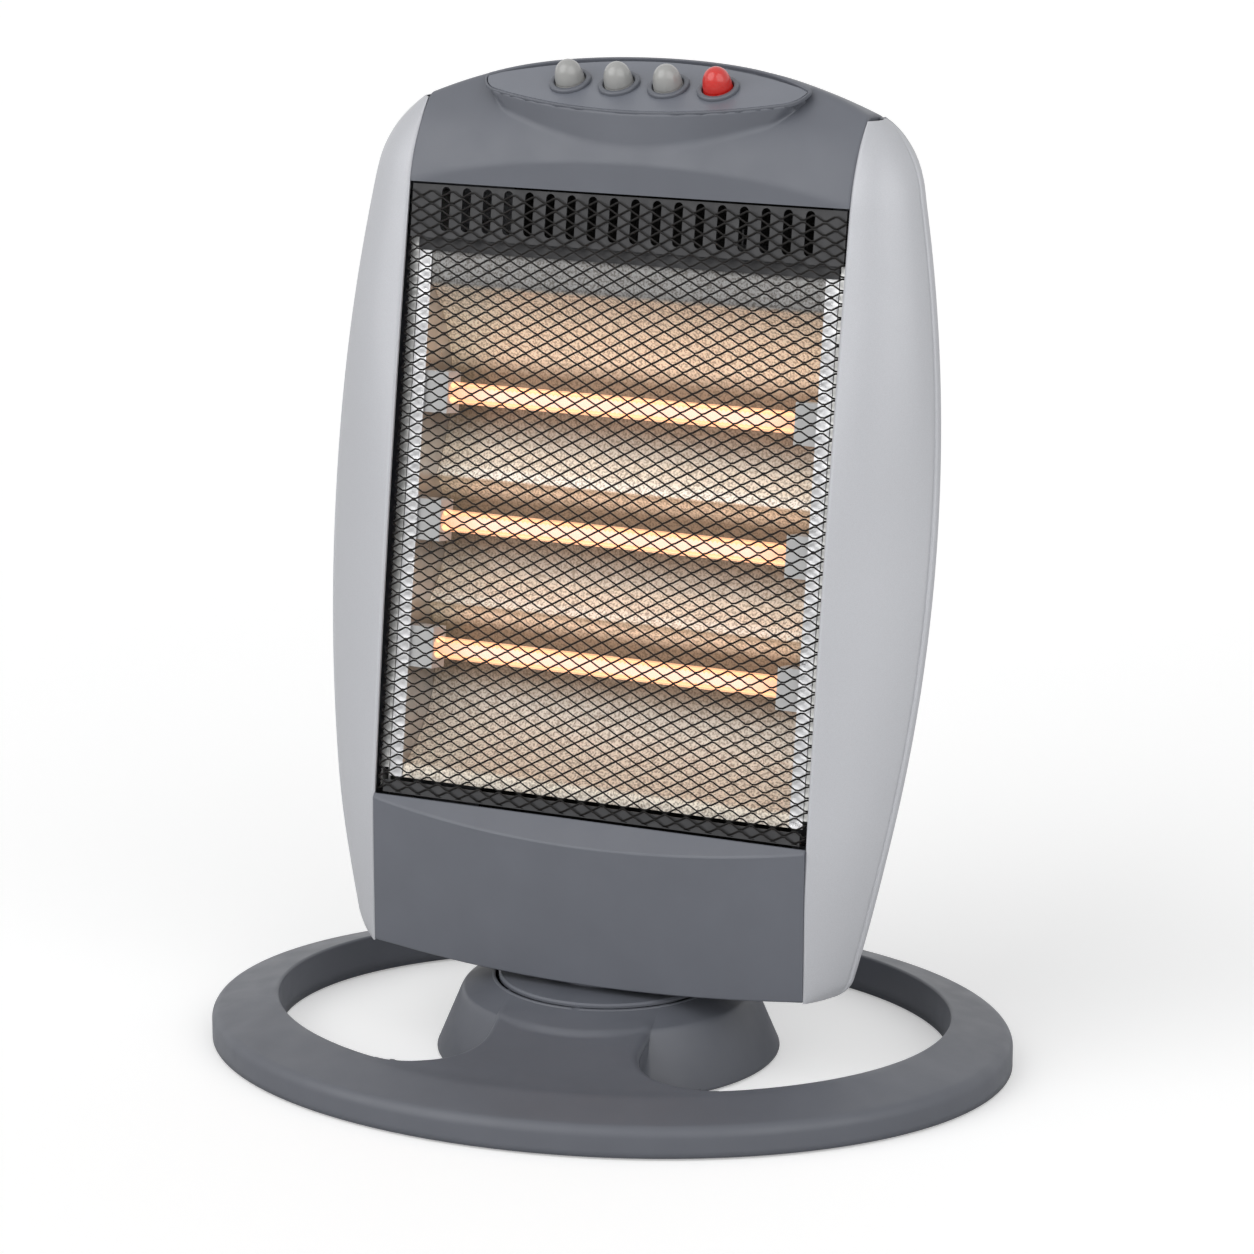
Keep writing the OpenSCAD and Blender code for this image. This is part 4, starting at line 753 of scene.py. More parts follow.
def side_panel(side, bead):
    """At height z the outer face runs from the seam f to the rear edge r: f + c (t e + 4 k t (1 - t) n), with chord c
    along e, normal n and crown k. Both edges are rounded, a bead and a groove follow the rear edge, and the inner face
    closes it. Gives points, quads, and the triangles of both ends."""
    foot = HEAD_Z + FOOT_ROUND * (1 - np.cos(np.linspace(0, np.pi / 2, 14)))
    flank = np.linspace(HEAD_Z + FOOT_ROUND, SHOULDER_Z, 120)
    top = SHOULDER_C[1] + SHOULDER_R * np.sin(np.linspace(SHOULDER_A0, SHOULDER_A1, 30))
    z = np.unique(np.concatenate([foot, flank, top]))
    dx = outline_x(z) - SEAM_X
    front = np.stack([SEAM_X + 0 * z, seam_y(z)], -1)
    rear = np.stack([SEAM_X + dx, part_y(z)], -1)
    chord = np.linalg.norm(rear - front, axis=1)
    e = (rear - front) / chord[:, None]
    n = np.stack([e[:, 1], -e[:, 0]], -1)
    near = np.array([0, 0.08, 0.22, 0.42, 0.68, 1.0, 1.4, 2.0, 3.0])
    far = np.array([9, 7.5, 6.2, 5.2, 4.5, 4.1, 3.8, 3.5, 3.2, 2.9, 2.6, 2.3, 1.9, 1.5, 1.0, 0.68, 0.42, 0.22, 0.08, 0])
    shrink = np.minimum(1, chord / 26)[:, None]
    mid = np.linspace(0, 1, 30)[None, 1:-1]
    a, b = near[None] * shrink, chord[:, None] - far[None] * shrink
    d = np.concatenate([a, a[:, -1:] + (b[:, :1] - a[:, -1:]) * mid, b], 1)
    t = d / chord[:, None]
    edge = np.minimum(d, chord[:, None] - d)
    rest = chord[:, None] - d
    raised = 0.7 * np.exp(-((rest - BEAD_AT * shrink) / BEAD_WIDTH) ** 2)
    sunk = np.exp(-((rest - GROOVE_AT * shrink) / GROOVE_WIDTH) ** 2)
    line = bead * shrink * (raised - sunk)
    rise = 4 * crown(z)[:, None] * t * (1 - t) * chord[:, None] - edge_drop(edge, shrink) + line
    outer = front[:, None] + chord[:, None, None] * t[..., None] * e[:, None] + rise[..., None] * n[:, None]
    w = 1.3 * np.minimum(WALL, dx * 0.35)
    back_t = np.linspace(1, 0, 14)[None, :, None]
    f2, r2 = front + np.stack([0 * w, w], -1), rear - np.stack([w, 0 * w], -1)
    lift = 4 * crown(z)[:, None, None] * chord[:, None, None] * back_t * (1 - back_t) * n[:, None]
    inner = f2[:, None] * (1 - back_t) + r2[:, None] * back_t + lift
    ring = np.concatenate([outer, inner], 1)
    points = np.concatenate([ring, np.broadcast_to(z[:, None, None], ring.shape[:2] + (1,))], -1)
    points[..., 0] *= side
    rows, columns = points.shape[:2]
    quads = grid_quads(rows, columns, closed_columns=True)
    middle = np.stack([points[0].mean(0), points[-1].mean(0)])
    k = np.arange(columns)
    lids = []
    for row, centre in ((0, rows * columns), (rows - 1, rows * columns + 1)):
        i = row * columns + k
        j = row * columns + (k + 1) % columns
        lids.append(np.stack([i, j, 0 * k + centre] if row else [j, i, 0 * k + centre], 1))
    points, lids = np.concatenate([points.reshape(-1, 3), middle]), np.concatenate(lids)
    if volume(points, quads) < 0:
        quads, lids = quads[:, ::-1], lids[:, [1, 0, 2]]
    return points, quads, lids


class HEATER_OT_side_panels(Operator):
    """Makes the two silver side panels from the head's outline"""
    bl_idname = "heater.side_panels"
    bl_label = "Side panels"

    def execute(self, context):
        bead = context.scene.heater_sizes.rim_bead / MM
        for side, word in ((1, "right"), (-1, "left")):
            points, quads, lids = side_panel(side, bead)
            new_piece("side_shell_" + word, points, quads, finish("silver_plastic"), "head",
                      ("side_panel_" + word,), 40, triangles=lids)
        return {"FINISHED"}


# ---------- cap ----------

CAP_END = SEAM_X - SEAM_GAP - SEAM_LINE
CAP_SKIRT_Z = GRILLE_TOP_Z + 22.25
CAP_AXIS_Y = (SEAM_X ** 2 + CAP_BOW ** 2) / (2 * CAP_BOW) - CAP_BOW
FACET_H = 15
FACET_FALL = CAP_ROUND * (math.cos(CAP_A0) - math.sqrt(1 - (math.sin(CAP_A0) + FACET_H / CAP_ROUND) ** 2))
FACET_A = math.atan2(CAP_BOW - FACET_FALL, FACET_H)
POD_TIP_X = POD_W / 2 - POD_TIP_R
POD_R = (POD_TIP_X ** 2 + POD_BOW ** 2 - POD_TIP_R ** 2) / (2 * (POD_BOW - POD_TIP_R))
POD_TIP_A = math.asin(POD_TIP_X / (POD_R - POD_TIP_R))
ROOF_DROP, ROOF_BACK, ROOF_POWER = 60, 41, 2.35
WALL_TAPER, WALL_DROP = 0.013, 34
SEAT_EDGE, SEAT_DEPTH, SEAT_LIP = 1.15, 1.3, 0.5
BODY_SOFT, FACET_SOFT, TOP_SOFT, ROOF_SOFT = 1.8, 0.8, 0.9, 2.2
CAP_EDGE = 0.95
CAP_CENTRE = (58.0, 446.0)
WINDOW_X, WINDOW_Y = 53.0, 10.6


def panel_height(y, z):
    """Height of a point over the control panel's plane."""
    return -(y - PANEL_Y) * math.sin(PANEL_TILT) + (z - PANEL_Z) * math.cos(PANEL_TILT)


def pod_distance(x, y):
    """Distance outside the control panel's outline, seen from above: a shallow arc, two tip circles, straight sides."""
    x = np.abs(x)
    to_arc = POD_FRONT_Y + POD_R - y
    arc = np.hypot(x, to_arc) - POD_R
    tip_y = POD_FRONT_Y + POD_BOW
    tip = np.hypot(x - POD_TIP_X, np.minimum(y - tip_y, 0)) - POD_TIP_R
    side = np.where(y < tip_y, tip, x - POD_W / 2)
    return np.where((np.arctan2(x, to_arc) < POD_TIP_A) & (to_arc > 0), arc, side)


def roof_distance(x, y, z):
    """Distance outside the arched roof: a circle seen from the front, falling behind the crest on a superellipse."""
    r = np.hypot(x, z - ARCH_Z)
    back = np.clip(y - CREST_Y, 0, None) / ROOF_BACK
    inner = np.clip(r - (ARCH_R - ROOF_DROP), 0, None) / ROOF_DROP
    falling = ROOF_DROP * ((back ** ROOF_POWER + inner ** ROOF_POWER) ** (1 / ROOF_POWER) - 1)
    return np.where(y < CREST_Y, r - ARCH_R, falling)


def cap_field(x, y, z):
    """Negative inside the cap. The rounded front is carried round a far upright axis and joined to the control panel's
    wall, then cut by the faint facet over the grille, by the tilted panel with its sunk seat, and by the roof."""
    q = CAP_AXIS_Y + CAP_BOW - np.hypot(x, y - CAP_AXIS_Y)
    cy, cz = GRILLE_TOP_Y + CAP_ROUND * math.cos(CAP_A0), GRILLE_TOP_Z - CAP_ROUND * math.sin(CAP_A0)
    over = np.arctan2(z - cz, cy - q) > CAP_A1
    slope = (cy - q) * math.cos(CAP_A1) + (z - cz) * math.sin(CAP_A1)
    face = np.where(over, slope, np.hypot(cy - q, z - cz)) - CAP_ROUND
    below = np.clip(-panel_height(y, z) / math.cos(PANEL_TILT), 0, WALL_DROP)
    wall = pod_distance(x * (1 + WALL_TAPER * below), y)
    body = -soft_max(-face, -wall, BODY_SOFT)
    facet = -(y - GRILLE_TOP_Y) * math.cos(FACET_A) - (z - GRILLE_TOP_Z) * math.sin(FACET_A)
    roof = roof_distance(x, y, z)
    seat = smooth_step((np.minimum(-pod_distance(x, y), -roof) - SEAT_EDGE) / 0.5)
    top = panel_height(y, z) + SEAT_LIP + SEAT_DEPTH * seat
    return soft_max(soft_max(soft_max(body, facet, FACET_SOFT), top, TOP_SOFT), roof, ROOF_SOFT)


def solved(field, low, high, level, steps=24):
    """Where field reaches level between low, inside, and high, outside: halving, for whole arrays."""
    for _ in range(steps):
        middle = (low + high) / 2
        outside = field(middle) > level
        low, high = np.where(outside, low, middle), np.where(outside, middle, high)
    return (low + high) / 2


def cap_layer(x, rows, level):
    """One layer of the cap: at each x, rays from the cap's centre sweep from the front lip over the top to the rear
    lip, and end where the field reaches level."""
    cy, cz = CAP_CENTRE
    lip = solved(lambda y: cap_field(x, y, GRILLE_TOP_Z + 0 * x), 0 * x + cy - 18, 0 * x - 10, level)
    rear = solved(lambda y: cap_field(x, y, CAP_SKIRT_Z + 0 * x), 0 * x + cy, 0 * x + 120, level)
    start = np.arctan2(GRILLE_TOP_Z - cz, lip - cy) + 2 * np.pi
    end = np.arctan2(CAP_SKIRT_Z - cz, rear - cy)
    a = start[None] + (end - start)[None] * rows[:, None]
    r = solved(lambda r: cap_field(x[None], cy + r * np.cos(a), cz + r * np.sin(a)), 0 * a + 1, 0 * a + 90, level)
    return np.stack([np.broadcast_to(x[None], r.shape), cy + r * np.cos(a), cz + r * np.sin(a)], -1)


def cap_shell():
    """The cap: an outer layer with rounded ends, an inner layer a wall further in, lips that join them, closed ends and
    a window in both layers for the switches."""
    half = np.concatenate([np.linspace(0, 66, 52)[1:], np.linspace(66, 90, 46)[1:], np.linspace(90, 112.8, 17)[1:],
                           CAP_END - np.array([CAP_EDGE, 0.6, 0.3, 0.1, 0.0])])
    x = np.concatenate([-half[::-1], [0], half])
    rows = np.concatenate([np.linspace(0, 0.60, 190), np.linspace(0.60, 1, 72)[1:]])
    outer = cap_layer(x, rows, -edge_drop(CAP_END - np.abs(x), CAP_EDGE))
    columns = len(x)
    c0, c1 = np.searchsorted(x, [-WINDOW_X, WINDOW_X])
    keep_c = np.unique(np.concatenate([np.arange(0, columns, 4), [columns - 1, c0, c1]]))
    height = panel_height(outer[:, columns // 2, 1], outer[:, columns // 2, 2])
    across = (outer[:, columns // 2, 1] - PANEL_Y) / math.cos(PANEL_TILT)
    in_seat = np.flatnonzero((height < -1.2) & (height > -2.4) & (np.abs(across) < WINDOW_Y))
    r0, r1 = in_seat[[0, -1]]
    keep_r = np.unique(np.concatenate([np.arange(0, len(rows), 4), [len(rows) - 1, r0, r1]]))
    inner = cap_layer(x[keep_c] * (CAP_END - WALL) / CAP_END, rows[keep_r], -WALL)

    def without_window(quads, width, row_ids, column_ids):
        i, j = quads[:, 0] // width, quads[:, 0] % width
        inside = (row_ids[i] >= r0) & (row_ids[i] < r1) & (column_ids[j] >= c0) & (column_ids[j] < c1)
        return quads[~inside]

    quads_out = without_window(grid_quads(len(rows), columns), columns, np.arange(len(rows)), np.arange(columns))
    quads_in = without_window(grid_quads(len(keep_r), len(keep_c)), len(keep_c), keep_r, keep_c)

    def axis(quads, p):
        return np.stack(np.broadcast_arrays(p[quads].mean(1)[:, 0], *CAP_CENTRE), 1)

    parts = [(outer, turned_from(outer, quads_out, axis)), (inner, turned_from(inner, quads_in, axis, False))]
    parts += [strip(outer[r][keep_c], inner[k]) for r, k in ((0, 0), (len(rows) - 1, len(keep_r) - 1))]
    wr, wc = (keep_r >= r0) & (keep_r <= r1), (keep_c >= c0) & (keep_c <= c1)
    for r in (r0, r1):
        parts.append(strip(outer[r][keep_c[wc]], inner[np.searchsorted(keep_r, r)][wc]))
    for c in (c0, c1):
        parts.append(strip(outer[keep_r[wr], c], inner[wr, np.searchsorted(keep_c, c)]))
    for layer, sign in ((outer, 1), (inner, -1)):
        for end in (0, -1):
            ring = layer[:, end]
            middle = np.broadcast_to(np.array([ring[0, 0], *CAP_CENTRE]), ring.shape)
            fan = strip(ring, middle)
            away = np.array([np.sign(ring[0, 0]) * sign, 0, 0])
            parts.append((fan[0], turned_from(fan[0], fan[1], lambda q, p: p[q].mean(1) - away)))
    return joined(parts)


def panel_rim():
    """The thin rim round the control panel: its profile, as (inset, height), is carried round the lens-shaped outline,
    which is found along rays from the lens's middle."""
    profile = np.array([(0.26, -1.6), (0.26, -0.14), (0.34, 0.03), (0.52, 0.10), (0.86, 0.10), (1.06, 0.02),
                        (1.18, -0.2), (1.2, -1.75), (0.8, -1.9)])
    a = np.linspace(0, 2 * np.pi, 640, endpoint=False)
    way_x, way_y = 84.0 * np.cos(a), 17.0 * np.sin(a)

    def outside(k, inset):
        x, y = k * way_x, PANEL_Y + 1.0 + k * way_y * math.cos(PANEL_TILT)
        z = PANEL_Z + (y - PANEL_Y) * math.tan(PANEL_TILT)
        return soft_max(pod_distance(x, y), roof_distance(x, y, z), 1.5)

    rings = []
    for inset, height in profile:
        k = solved(lambda k: outside(k, inset), 0 * a + 0.05, 0 * a + 2.0, -inset)
        rings.append(on_panel(k * way_x, 1.0 / math.cos(PANEL_TILT) + k * way_y, height))
    points = np.stack(rings)
    quads = grid_quads(len(profile), len(a), closed_rows=True, closed_columns=True)
    return points, right_side_out(points, quads)


class HEATER_OT_cap(Operator):
    """Makes the top cap with its bowed eyebrow, and the thin rim round the control panel"""
    bl_idname = "heater.cap"
    bl_label = "Cap"

    def execute(self, context):
        points, quads = cap_shell()
        new_piece("cap_shell", points, quads, finish("dark_plastic"), "head", ("top_cap",), 75)
        points, quads = panel_rim()
        new_piece("panel_rim", points, quads, finish("dark_plastic"), "head", (), 60)
        # The control panel's plate, in the lighter copy of the dark plastic, which is painted light.
        softened_copy("control_panel", "panel_plate", finish("lit_panel_plastic"))
        softened_copy("button_bezels", "bezel_rings", finish("dark_plastic"))
        return {"FINISHED"}


# ---------- grille ----------

def strand_wave(u, pitch):
    """Zigzag between -1 and 1 with slightly rounded turns: nine parts triangle and one part sine."""
    phase = 2 * np.pi * u / pitch
    return 0.9 * (2 / np.pi) * np.arcsin(0.996 * np.sin(phase)) + 0.1 * np.sin(phase)


def folded(distance, radius):
    """Way beyond a fold, as (along, back): a quarter circle of that radius and then straight back."""
    d = np.clip(distance, 0, None)
    a = np.minimum(d / radius, np.pi / 2)
    return radius * np.sin(a), radius * (1 - np.cos(a)) + np.clip(d - radius * np.pi / 2, 0, None)


MESH_FOLD, MESH_CLEAR, MESH_TURNED = 2.2, 0.3, 2.6


def wire_rows(pitch_u, pitch_s, width):
    """Wire k lies at height k p / 2 and zigzags by p / 4, in turn with its neighbours, so that they meet at knuckles.
    The sheet of wires folds back round both sides and the lower edge. A wire is a tube of four sides."""
    flat = MESH_X - MESH_FOLD - MESH_CLEAR
    reach = flat + MESH_FOLD * np.pi / 2 + MESH_TURNED
    steps = int(round(2 * reach / (pitch_u / 2))) * 3
    u = np.linspace(-reach, reach, steps + 1)
    rows = np.arange(-2, int((GRILLE_L - 1.2) / (pitch_s / 2)))
    turn = np.where(rows % 2, 1, -1)[:, None]
    s = rows[:, None] * pitch_s / 2 + turn * pitch_s / 4 * strand_wave(u, pitch_u)[None]
    random = np.random.default_rng(7)
    sway = 0.10 * np.sin(u[None] * 0.071 + random.uniform(0, 6.28, (len(rows), 1)))
    s += sway + 0.04 * random.standard_normal((len(rows), 1))
    twist = strand_wave(u + pitch_u / 4, pitch_u)[None] * turn
    along = np.gradient(s, u, axis=1)
    norm = np.sqrt(1 + along ** 2)
    low = 0.7 + MESH_FOLD
    half, deep = width / 2, width * 0.62
    corners = np.array([(1, -0.55), (0.2, 1), (-1, 0.55), (-0.2, -1)])
    rings = []
    for side, depth in corners:
        uu = u[None] - side * half * along / norm
        ss = s + side * half / norm
        out_x, back_x = folded(np.abs(uu) - flat, MESH_FOLD)
        out_s, back_s = folded(low - ss, MESH_FOLD)
        x = np.where(np.abs(uu) > flat, np.sign(uu) * (flat + out_x), uu)
        up = np.where(ss < low, low - out_s, ss)
        v = 0.85 + 0.22 * twist + back_x + back_s + depth * deep * 0.5
        rings.append(on_slope(x, v, up))
    return np.stack(rings, 2)


class HEATER_OT_grille(Operator):
    """Makes the fine diamond wire grille, folded back round its sides and lower edge"""
    bl_idname = "heater.grille"
    bl_label = "Grille"

    def execute(self, context):
        sizes = context.scene.heater_sizes
        f = Finish("grille wire", tuple(context.scene.heater_colours.wire), 0.5, 0.0, 0.22)
        f.mottled(420, 0.5).worn(0.30, 0.65, 500).grain(2400, 0.00003)
        points, quads = tube_stack(wire_rows(sizes.mesh_across / MM, sizes.mesh_up / MM, sizes.strand / MM))
        new_piece("wire_grille", points, quads, f.material, "head", ("grille",), 80)
        return {"FINISHED"}


# ---------- reflector ----------

def bowed(p, q, sag, n):
    """Points from p to q on a parabola bulged by sag to the left of the way."""
    p, q = np.array(p, float), np.array(q, float)
    d = q - p
    side = np.array([-d[1], d[0]]) / np.linalg.norm(d)
    t = np.linspace(0, 1, n + 1)[:, None]
    return p + t * d + 4 * sag * t * (1 - t) * side


def reflector_face():
    """Front of the reflector as (depth, height) along its slope: upper flange, three troughs and lower flange."""
    ridges = [(RIDGE_V, LAMP_AT[0] - RIDGE_DROP), (RIDGE_V, LAMP_AT[1] - RIDGE_DROP)]
    top, bottom = (FLANGE_V + 1, REFLECTOR_TOP - BAND), (FLANGE_V + 1, REFLECTOR_BOTTOM + 6)
    flange = np.linspace((FLANGE_V, REFLECTOR_TOP), top, 8)[:-1]
    foot = np.linspace(bottom, (FLANGE_V, REFLECTOR_BOTTOM), 5)[1:]
    upper = bowed(top, ridges[0], TROUGH * 1.35, 44)
    middle = bowed(ridges[0], ridges[1], TROUGH, 34)[1:]
    lower = bowed(ridges[1], bottom, TROUGH * 1.3, 44)[1:]
    return np.concatenate([flange, upper, middle, lower, foot])


class HEATER_OT_reflector(Operator):
    """Makes the embossed reflector with its three troughs"""
    bl_idname = "heater.reflector"
    bl_label = "Reflector"

    def execute(self, context):
        face = reflector_face()
        x = np.linspace(-REFLECTOR_HALF, REFLECTOR_HALF, 61)
        front = on_slope(x[None], face[:, :1], face[:, 1:])
        back = on_slope(x[None], face[:, :1] + REFLECTOR_SHEET, face[:, 1:])[::-1]
        points = np.concatenate([front, back])
        rows, columns = points.shape[:2]
        quads = right_side_out(points, grid_quads(rows, columns, closed_rows=True))
        height = np.concatenate([face[:, 1], face[::-1, 1]]) / GRILLE_L
        uv = np.stack(np.broadcast_arrays((x[None] + REFLECTOR_HALF) / (2 * REFLECTOR_HALF), height[:, None]), -1)
        new_piece("reflector_sheet", points, quads, embossed_metal(), "head", ("reflector",), uv=uv)
        for node in ("reflector_end_left", "reflector_end_right"):
            dress_node(node, "bright_steel")
        return {"FINISHED"}


def embossed_metal():
    """Bright embossed sheet with a fine dotted grain. Its colour follows the height up the slope: a tan that is partly
    its own colour and partly painted warm reflection of the lamps, a dark band of painted shadow and dark reflection
    round each lamp's tube, a painted highlight with a thin painted shade line along each ridge, painted black shade
    under the cap at the top, and an emission that paints the lamps' warm light onto the sheet."""
    f = Finish("embossed reflector", (0.62, 0.58, 0.53), 0.42, 0.3)
    up = f.along("Y")
    # The tan is partly the sheet's own colour and partly painted warm reflection of the lamps; the darkest band colour
    # is painted shade.
    light, tan, painted_tube_shade, silver = (0.55, 0.52, 0.47), (0.93, 0.84, 0.71), (0.25, 0.19, 0.14), (0.40, 0.395, 0.39)
    dull, bright, black = (0.5, 0.42, 0.33), (1, 0.97, 0.9), (0.08, 0.08, 0.08)
    stops = [(0.0, silver), (0.05, tan)]
    for ridge in (LAMP_AT[0] - RIDGE_DROP, LAMP_AT[1] - RIDGE_DROP):
        # Along each ridge: a thin painted shade line, then a painted highlight.
        edge = ((-4.0, tan), (-1.4, dull), (-0.6, dull), (-0.2, bright), (3.0, bright), (6.0, tan))
        stops += [((ridge + d) / GRILLE_L, colour) for d, colour in edge]
    for s in sorted(LAMP_AT):
        # Round each lamp: a dark band of painted shadow and dark reflection of the tube.
        stops += [((s - 24) / GRILLE_L, light), ((s - 11) / GRILLE_L, painted_tube_shade), ((s + 10) / GRILLE_L, painted_tube_shade)]
        stops += [((s + 20) / GRILLE_L, tan)] if s == max(LAMP_AT) else []
    # At the top: a grey band, then painted black shade under the cap.
    stops += [(s / GRILLE_L, colour) for s, colour in ((247, tan), (249, silver), (262, silver), (265, black))]
    banded = f.ramp(up, sorted(stops))
    mix = f.nodes.new("ShaderNodeMix")
    mix.data_type = "RGBA"
    mix.blend_type = "MULTIPLY"
    set_inputs(mix, Factor=1.0)
    f.links.new(banded, mix.inputs["A"])
    f.links.new(f.ramp(f.noise(900, 3.0), [(0.38, (0.46, 0.43, 0.40)), (0.56, (1, 1, 1))]), mix.inputs["B"])
    f.links.new(mix.outputs["Result"], f.shader.inputs["Base Color"])
    # Emission that paints the lamps' warm light onto the sheet, strongest just above each lamp.
    painted_lamp_light = [(0.0, (0, 0, 0))]
    for s in sorted(LAMP_AT):
        shares = ((-34, 0.2), (-18, 0.35), (-8, 0.2), (8, 0.5), (20, 1.0), (34, 0.9))
        painted_lamp_light += [((s + h) / GRILLE_L, tuple(k * c for c in (0.16, 0.12, 0.075))) for h, k in shares]
    painted_lamp_light.append((248 / GRILLE_L, (0, 0, 0)))
    f.links.new(f.ramp(up, painted_lamp_light), f.shader.inputs["Emission Color"])
    set_inputs(f.shader, Emission_Strength=1.0)
    f.worn(0.30, 0.52, 260).grain(620, 0.00032, 2.0).grain(1700, 0.00012, 1.0)
    return f.material


# ---------- lamps ----------

def ring_points(x, radius, sides, s):
    """Circles of given radius about the line of the lamp at height s."""
    a = np.linspace(0, 2 * np.pi, sides, endpoint=False)
    x, radius = np.broadcast_arrays(np.asarray(x, float), np.asarray(radius, float))
    return on_slope(x[:, None], LAMP_V + radius[:, None] * np.cos(a)[None], s + radius[:, None] * np.sin(a)[None])


def tube_shell(s):
    """A quartz tube: out along its outer radius and back along its inner one, closed on itself."""
    x, sides = np.linspace(-TUBE_END, TUBE_END, 25), 40
    outer, inner = ring_points(x, TUBE_R, sides, s), ring_points(x[::-1], TUBE_R - 1, sides, s)
    rings = np.concatenate([outer, inner])
    return rings, right_side_out(rings, grid_quads(len(rings), sides, closed_rows=True, closed_columns=True))


def coil(s, turns):
    """A heating coil: a wire of six sides carried along a helix about the lamp's line."""
    span, radius, wire, steps = TUBE_END - 9.5, 2.6, 0.55, 14
    t = np.linspace(0, 1, turns * steps + 1)
    a = 2 * np.pi * turns * t
    x = -span + 2 * span * t
    b = np.linspace(0, 2 * np.pi, 6, endpoint=False)
    r = radius + wire * np.cos(b)[None]
    shift = wire * np.sin(b)[None]
    rings = on_slope(x[:, None] + shift, LAMP_V + r * np.cos(a)[:, None], s + r * np.sin(a)[:, None])
    return tube_stack(rings[None])


def end_plugs(s):
    """The solid ends inside a tube, with the thin lead between them that runs through the coil."""
    plug, lead = TUBE_R - 1.05, 2.2
    x = np.array([-TUBE_END, -TUBE_END + 6, -TUBE_END + 6, TUBE_END - 6, TUBE_END - 6, TUBE_END])
    return tube_stack(ring_points(x, np.array([plug, plug, lead, lead, plug, plug]), 24, s)[None])


GLOW_FADE = 0.15


def glow_material(name, colour, strength, ends):
    """Light along the lamp: full in the middle and fading to a dull orange at both ends, by the piece's own UV."""
    f = Finish(name, (0.05, 0.02, 0.01), 0.6)
    across = f.along("X")
    dull = tuple(c * k for c, k in zip(colour, (0.60, 0.24, 0.06)))
    stops = [(0.0, dull), (ends, colour), (1 - ends, colour), (1.0, dull)]
    f.links.new(f.ramp(across, stops), f.shader.inputs["Emission Color"])
    set_inputs(f.shader, Emission_Strength=strength)
    return f.material


def quartz():
    """Clear quartz, faintly milky and warm from the coil inside."""
    f = Finish("quartz", (1.0, 0.93, 0.84), 0.06)
    set_inputs(f.shader, Transmission_Weight=1.0, IOR=1.12, Emission_Color=(1.0, 0.45, 0.24, 1), Emission_Strength=0.42)
    f.worn(0.04, 0.12, 200).grain(300, 0.00002)
    return f.material


class HEATER_OT_lamps(Operator):
    """Makes the quartz tubes and the glowing coils in them"""
    bl_idname = "heater.lamps"
    bl_label = "Lamps"

    def execute(self, context):
        scene = context.scene
        glass = quartz()
        for s, word in zip(LAMP_AT, ("top", "middle", "bottom")):
            points, quads = tube_shell(s)
            new_piece("quartz_" + word, points, quads, glass, "head", ("lamp_" + word,))
        parts = []
        for s in LAMP_AT:
            parts += [coil(s, scene.heater_sizes.coil_turns), end_plugs(s)]
        points, quads = joined(parts)
        uv = np.stack([(points[:, 0] + TUBE_END) / (2 * TUBE_END), 0 * points[:, 0]], -1)
        glow = glow_material("coil glow", tuple(scene.heater_colours.glow), scene.heater_light.glow, GLOW_FADE)
        new_piece("heating_coils", points, quads, glow, "head", ("filaments",), 60, uv)
        dress_node("ceramic_ends", "ceramic")
        return {"FINISHED"}


# ---------- buttons ----------

def bell():
    """Half section of a button as (radius, height): a stem, a short skirt, then a bell that narrows and rounds over."""
    t = 1 - np.linspace(1, 0, 44) ** 1.6
    r = BUTTON_R * (0.97 - 0.08 * t) * np.sqrt(np.clip(1 - t ** 2.8, 0, None))
    z = BUTTON_SKIRT + (BUTTON_H - BUTTON_SKIRT) * t
    r[-1] = 0.02
    low = np.array([(2.6, -13.0), (2.6, -3.02), (BUTTON_R - 0.3, -3.0), (BUTTON_R, -2.7), (BUTTON_R, 0.6),
                    (BUTTON_R - 0.05, 0.95), (BUTTON_R - 0.16, 1.22), (BUTTON_R - 0.28, 1.42), (BUTTON_R - 0.32, 1.65)])
    return np.concatenate([low, np.stack([r, z], 1)])


class HEATER_OT_buttons(Operator):
    """Makes the three grey heat buttons and the red swing button"""
    bl_idname = "heater.buttons"
    bl_label = "Buttons"

    def execute(self, context):
        profile = bell()
        a = np.linspace(0, 2 * np.pi, 56, endpoint=False)
        for i, name in enumerate(("heat_button_1", "heat_button_2", "heat_button_3", "swing_button")):
            centre = (i - 1.5) * BUTTON_PITCH
            rings = on_panel(centre + profile[:, :1] * np.cos(a), profile[:, :1] * np.sin(a), profile[:, 1:] + 0 * a)
            points, quads = tube_stack(rings[None])
            slot = "signal_red" if i == 3 else "button_grey"
            new_piece(name + "_cap", points, quads, finish(slot), name, (name,), 60)
        return {"FINISHED"}


# ---------- mouldings and metalwork ----------

def dress_node(node, slot):
    """Gives a CAD node that stays its finish."""
    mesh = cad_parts[node].data
    mesh.materials.clear()
    mesh.materials.append(finish(slot))


SHADE_SHEET_X, SHADE_SHEET_Z, SHADE_SHEET_BACK, SHADE_SHEET_THICK = 84, (56, 430), 55, 0.6


def shade_sheet():
    """A near-black sheet of painted shade behind the louvres, for the dark inside of the head: it follows the seam's
    line, a fixed way behind it.
    """
    x, z = np.linspace(-SHADE_SHEET_X, SHADE_SHEET_X, 13), np.linspace(*SHADE_SHEET_Z, 60)
    y = seam_y(np.minimum(z, GRILLE_TOP_Z + 10)) + SHADE_SHEET_BACK
    front = np.stack(np.broadcast_arrays(x[None], y[:, None], z[:, None]), -1)
    back = front[::-1] + np.array([0, SHADE_SHEET_THICK, 0])
    points = np.concatenate([front, back])
    quads = grid_quads(len(points), len(x), closed_rows=True)
    return points, right_side_out(points, quads)


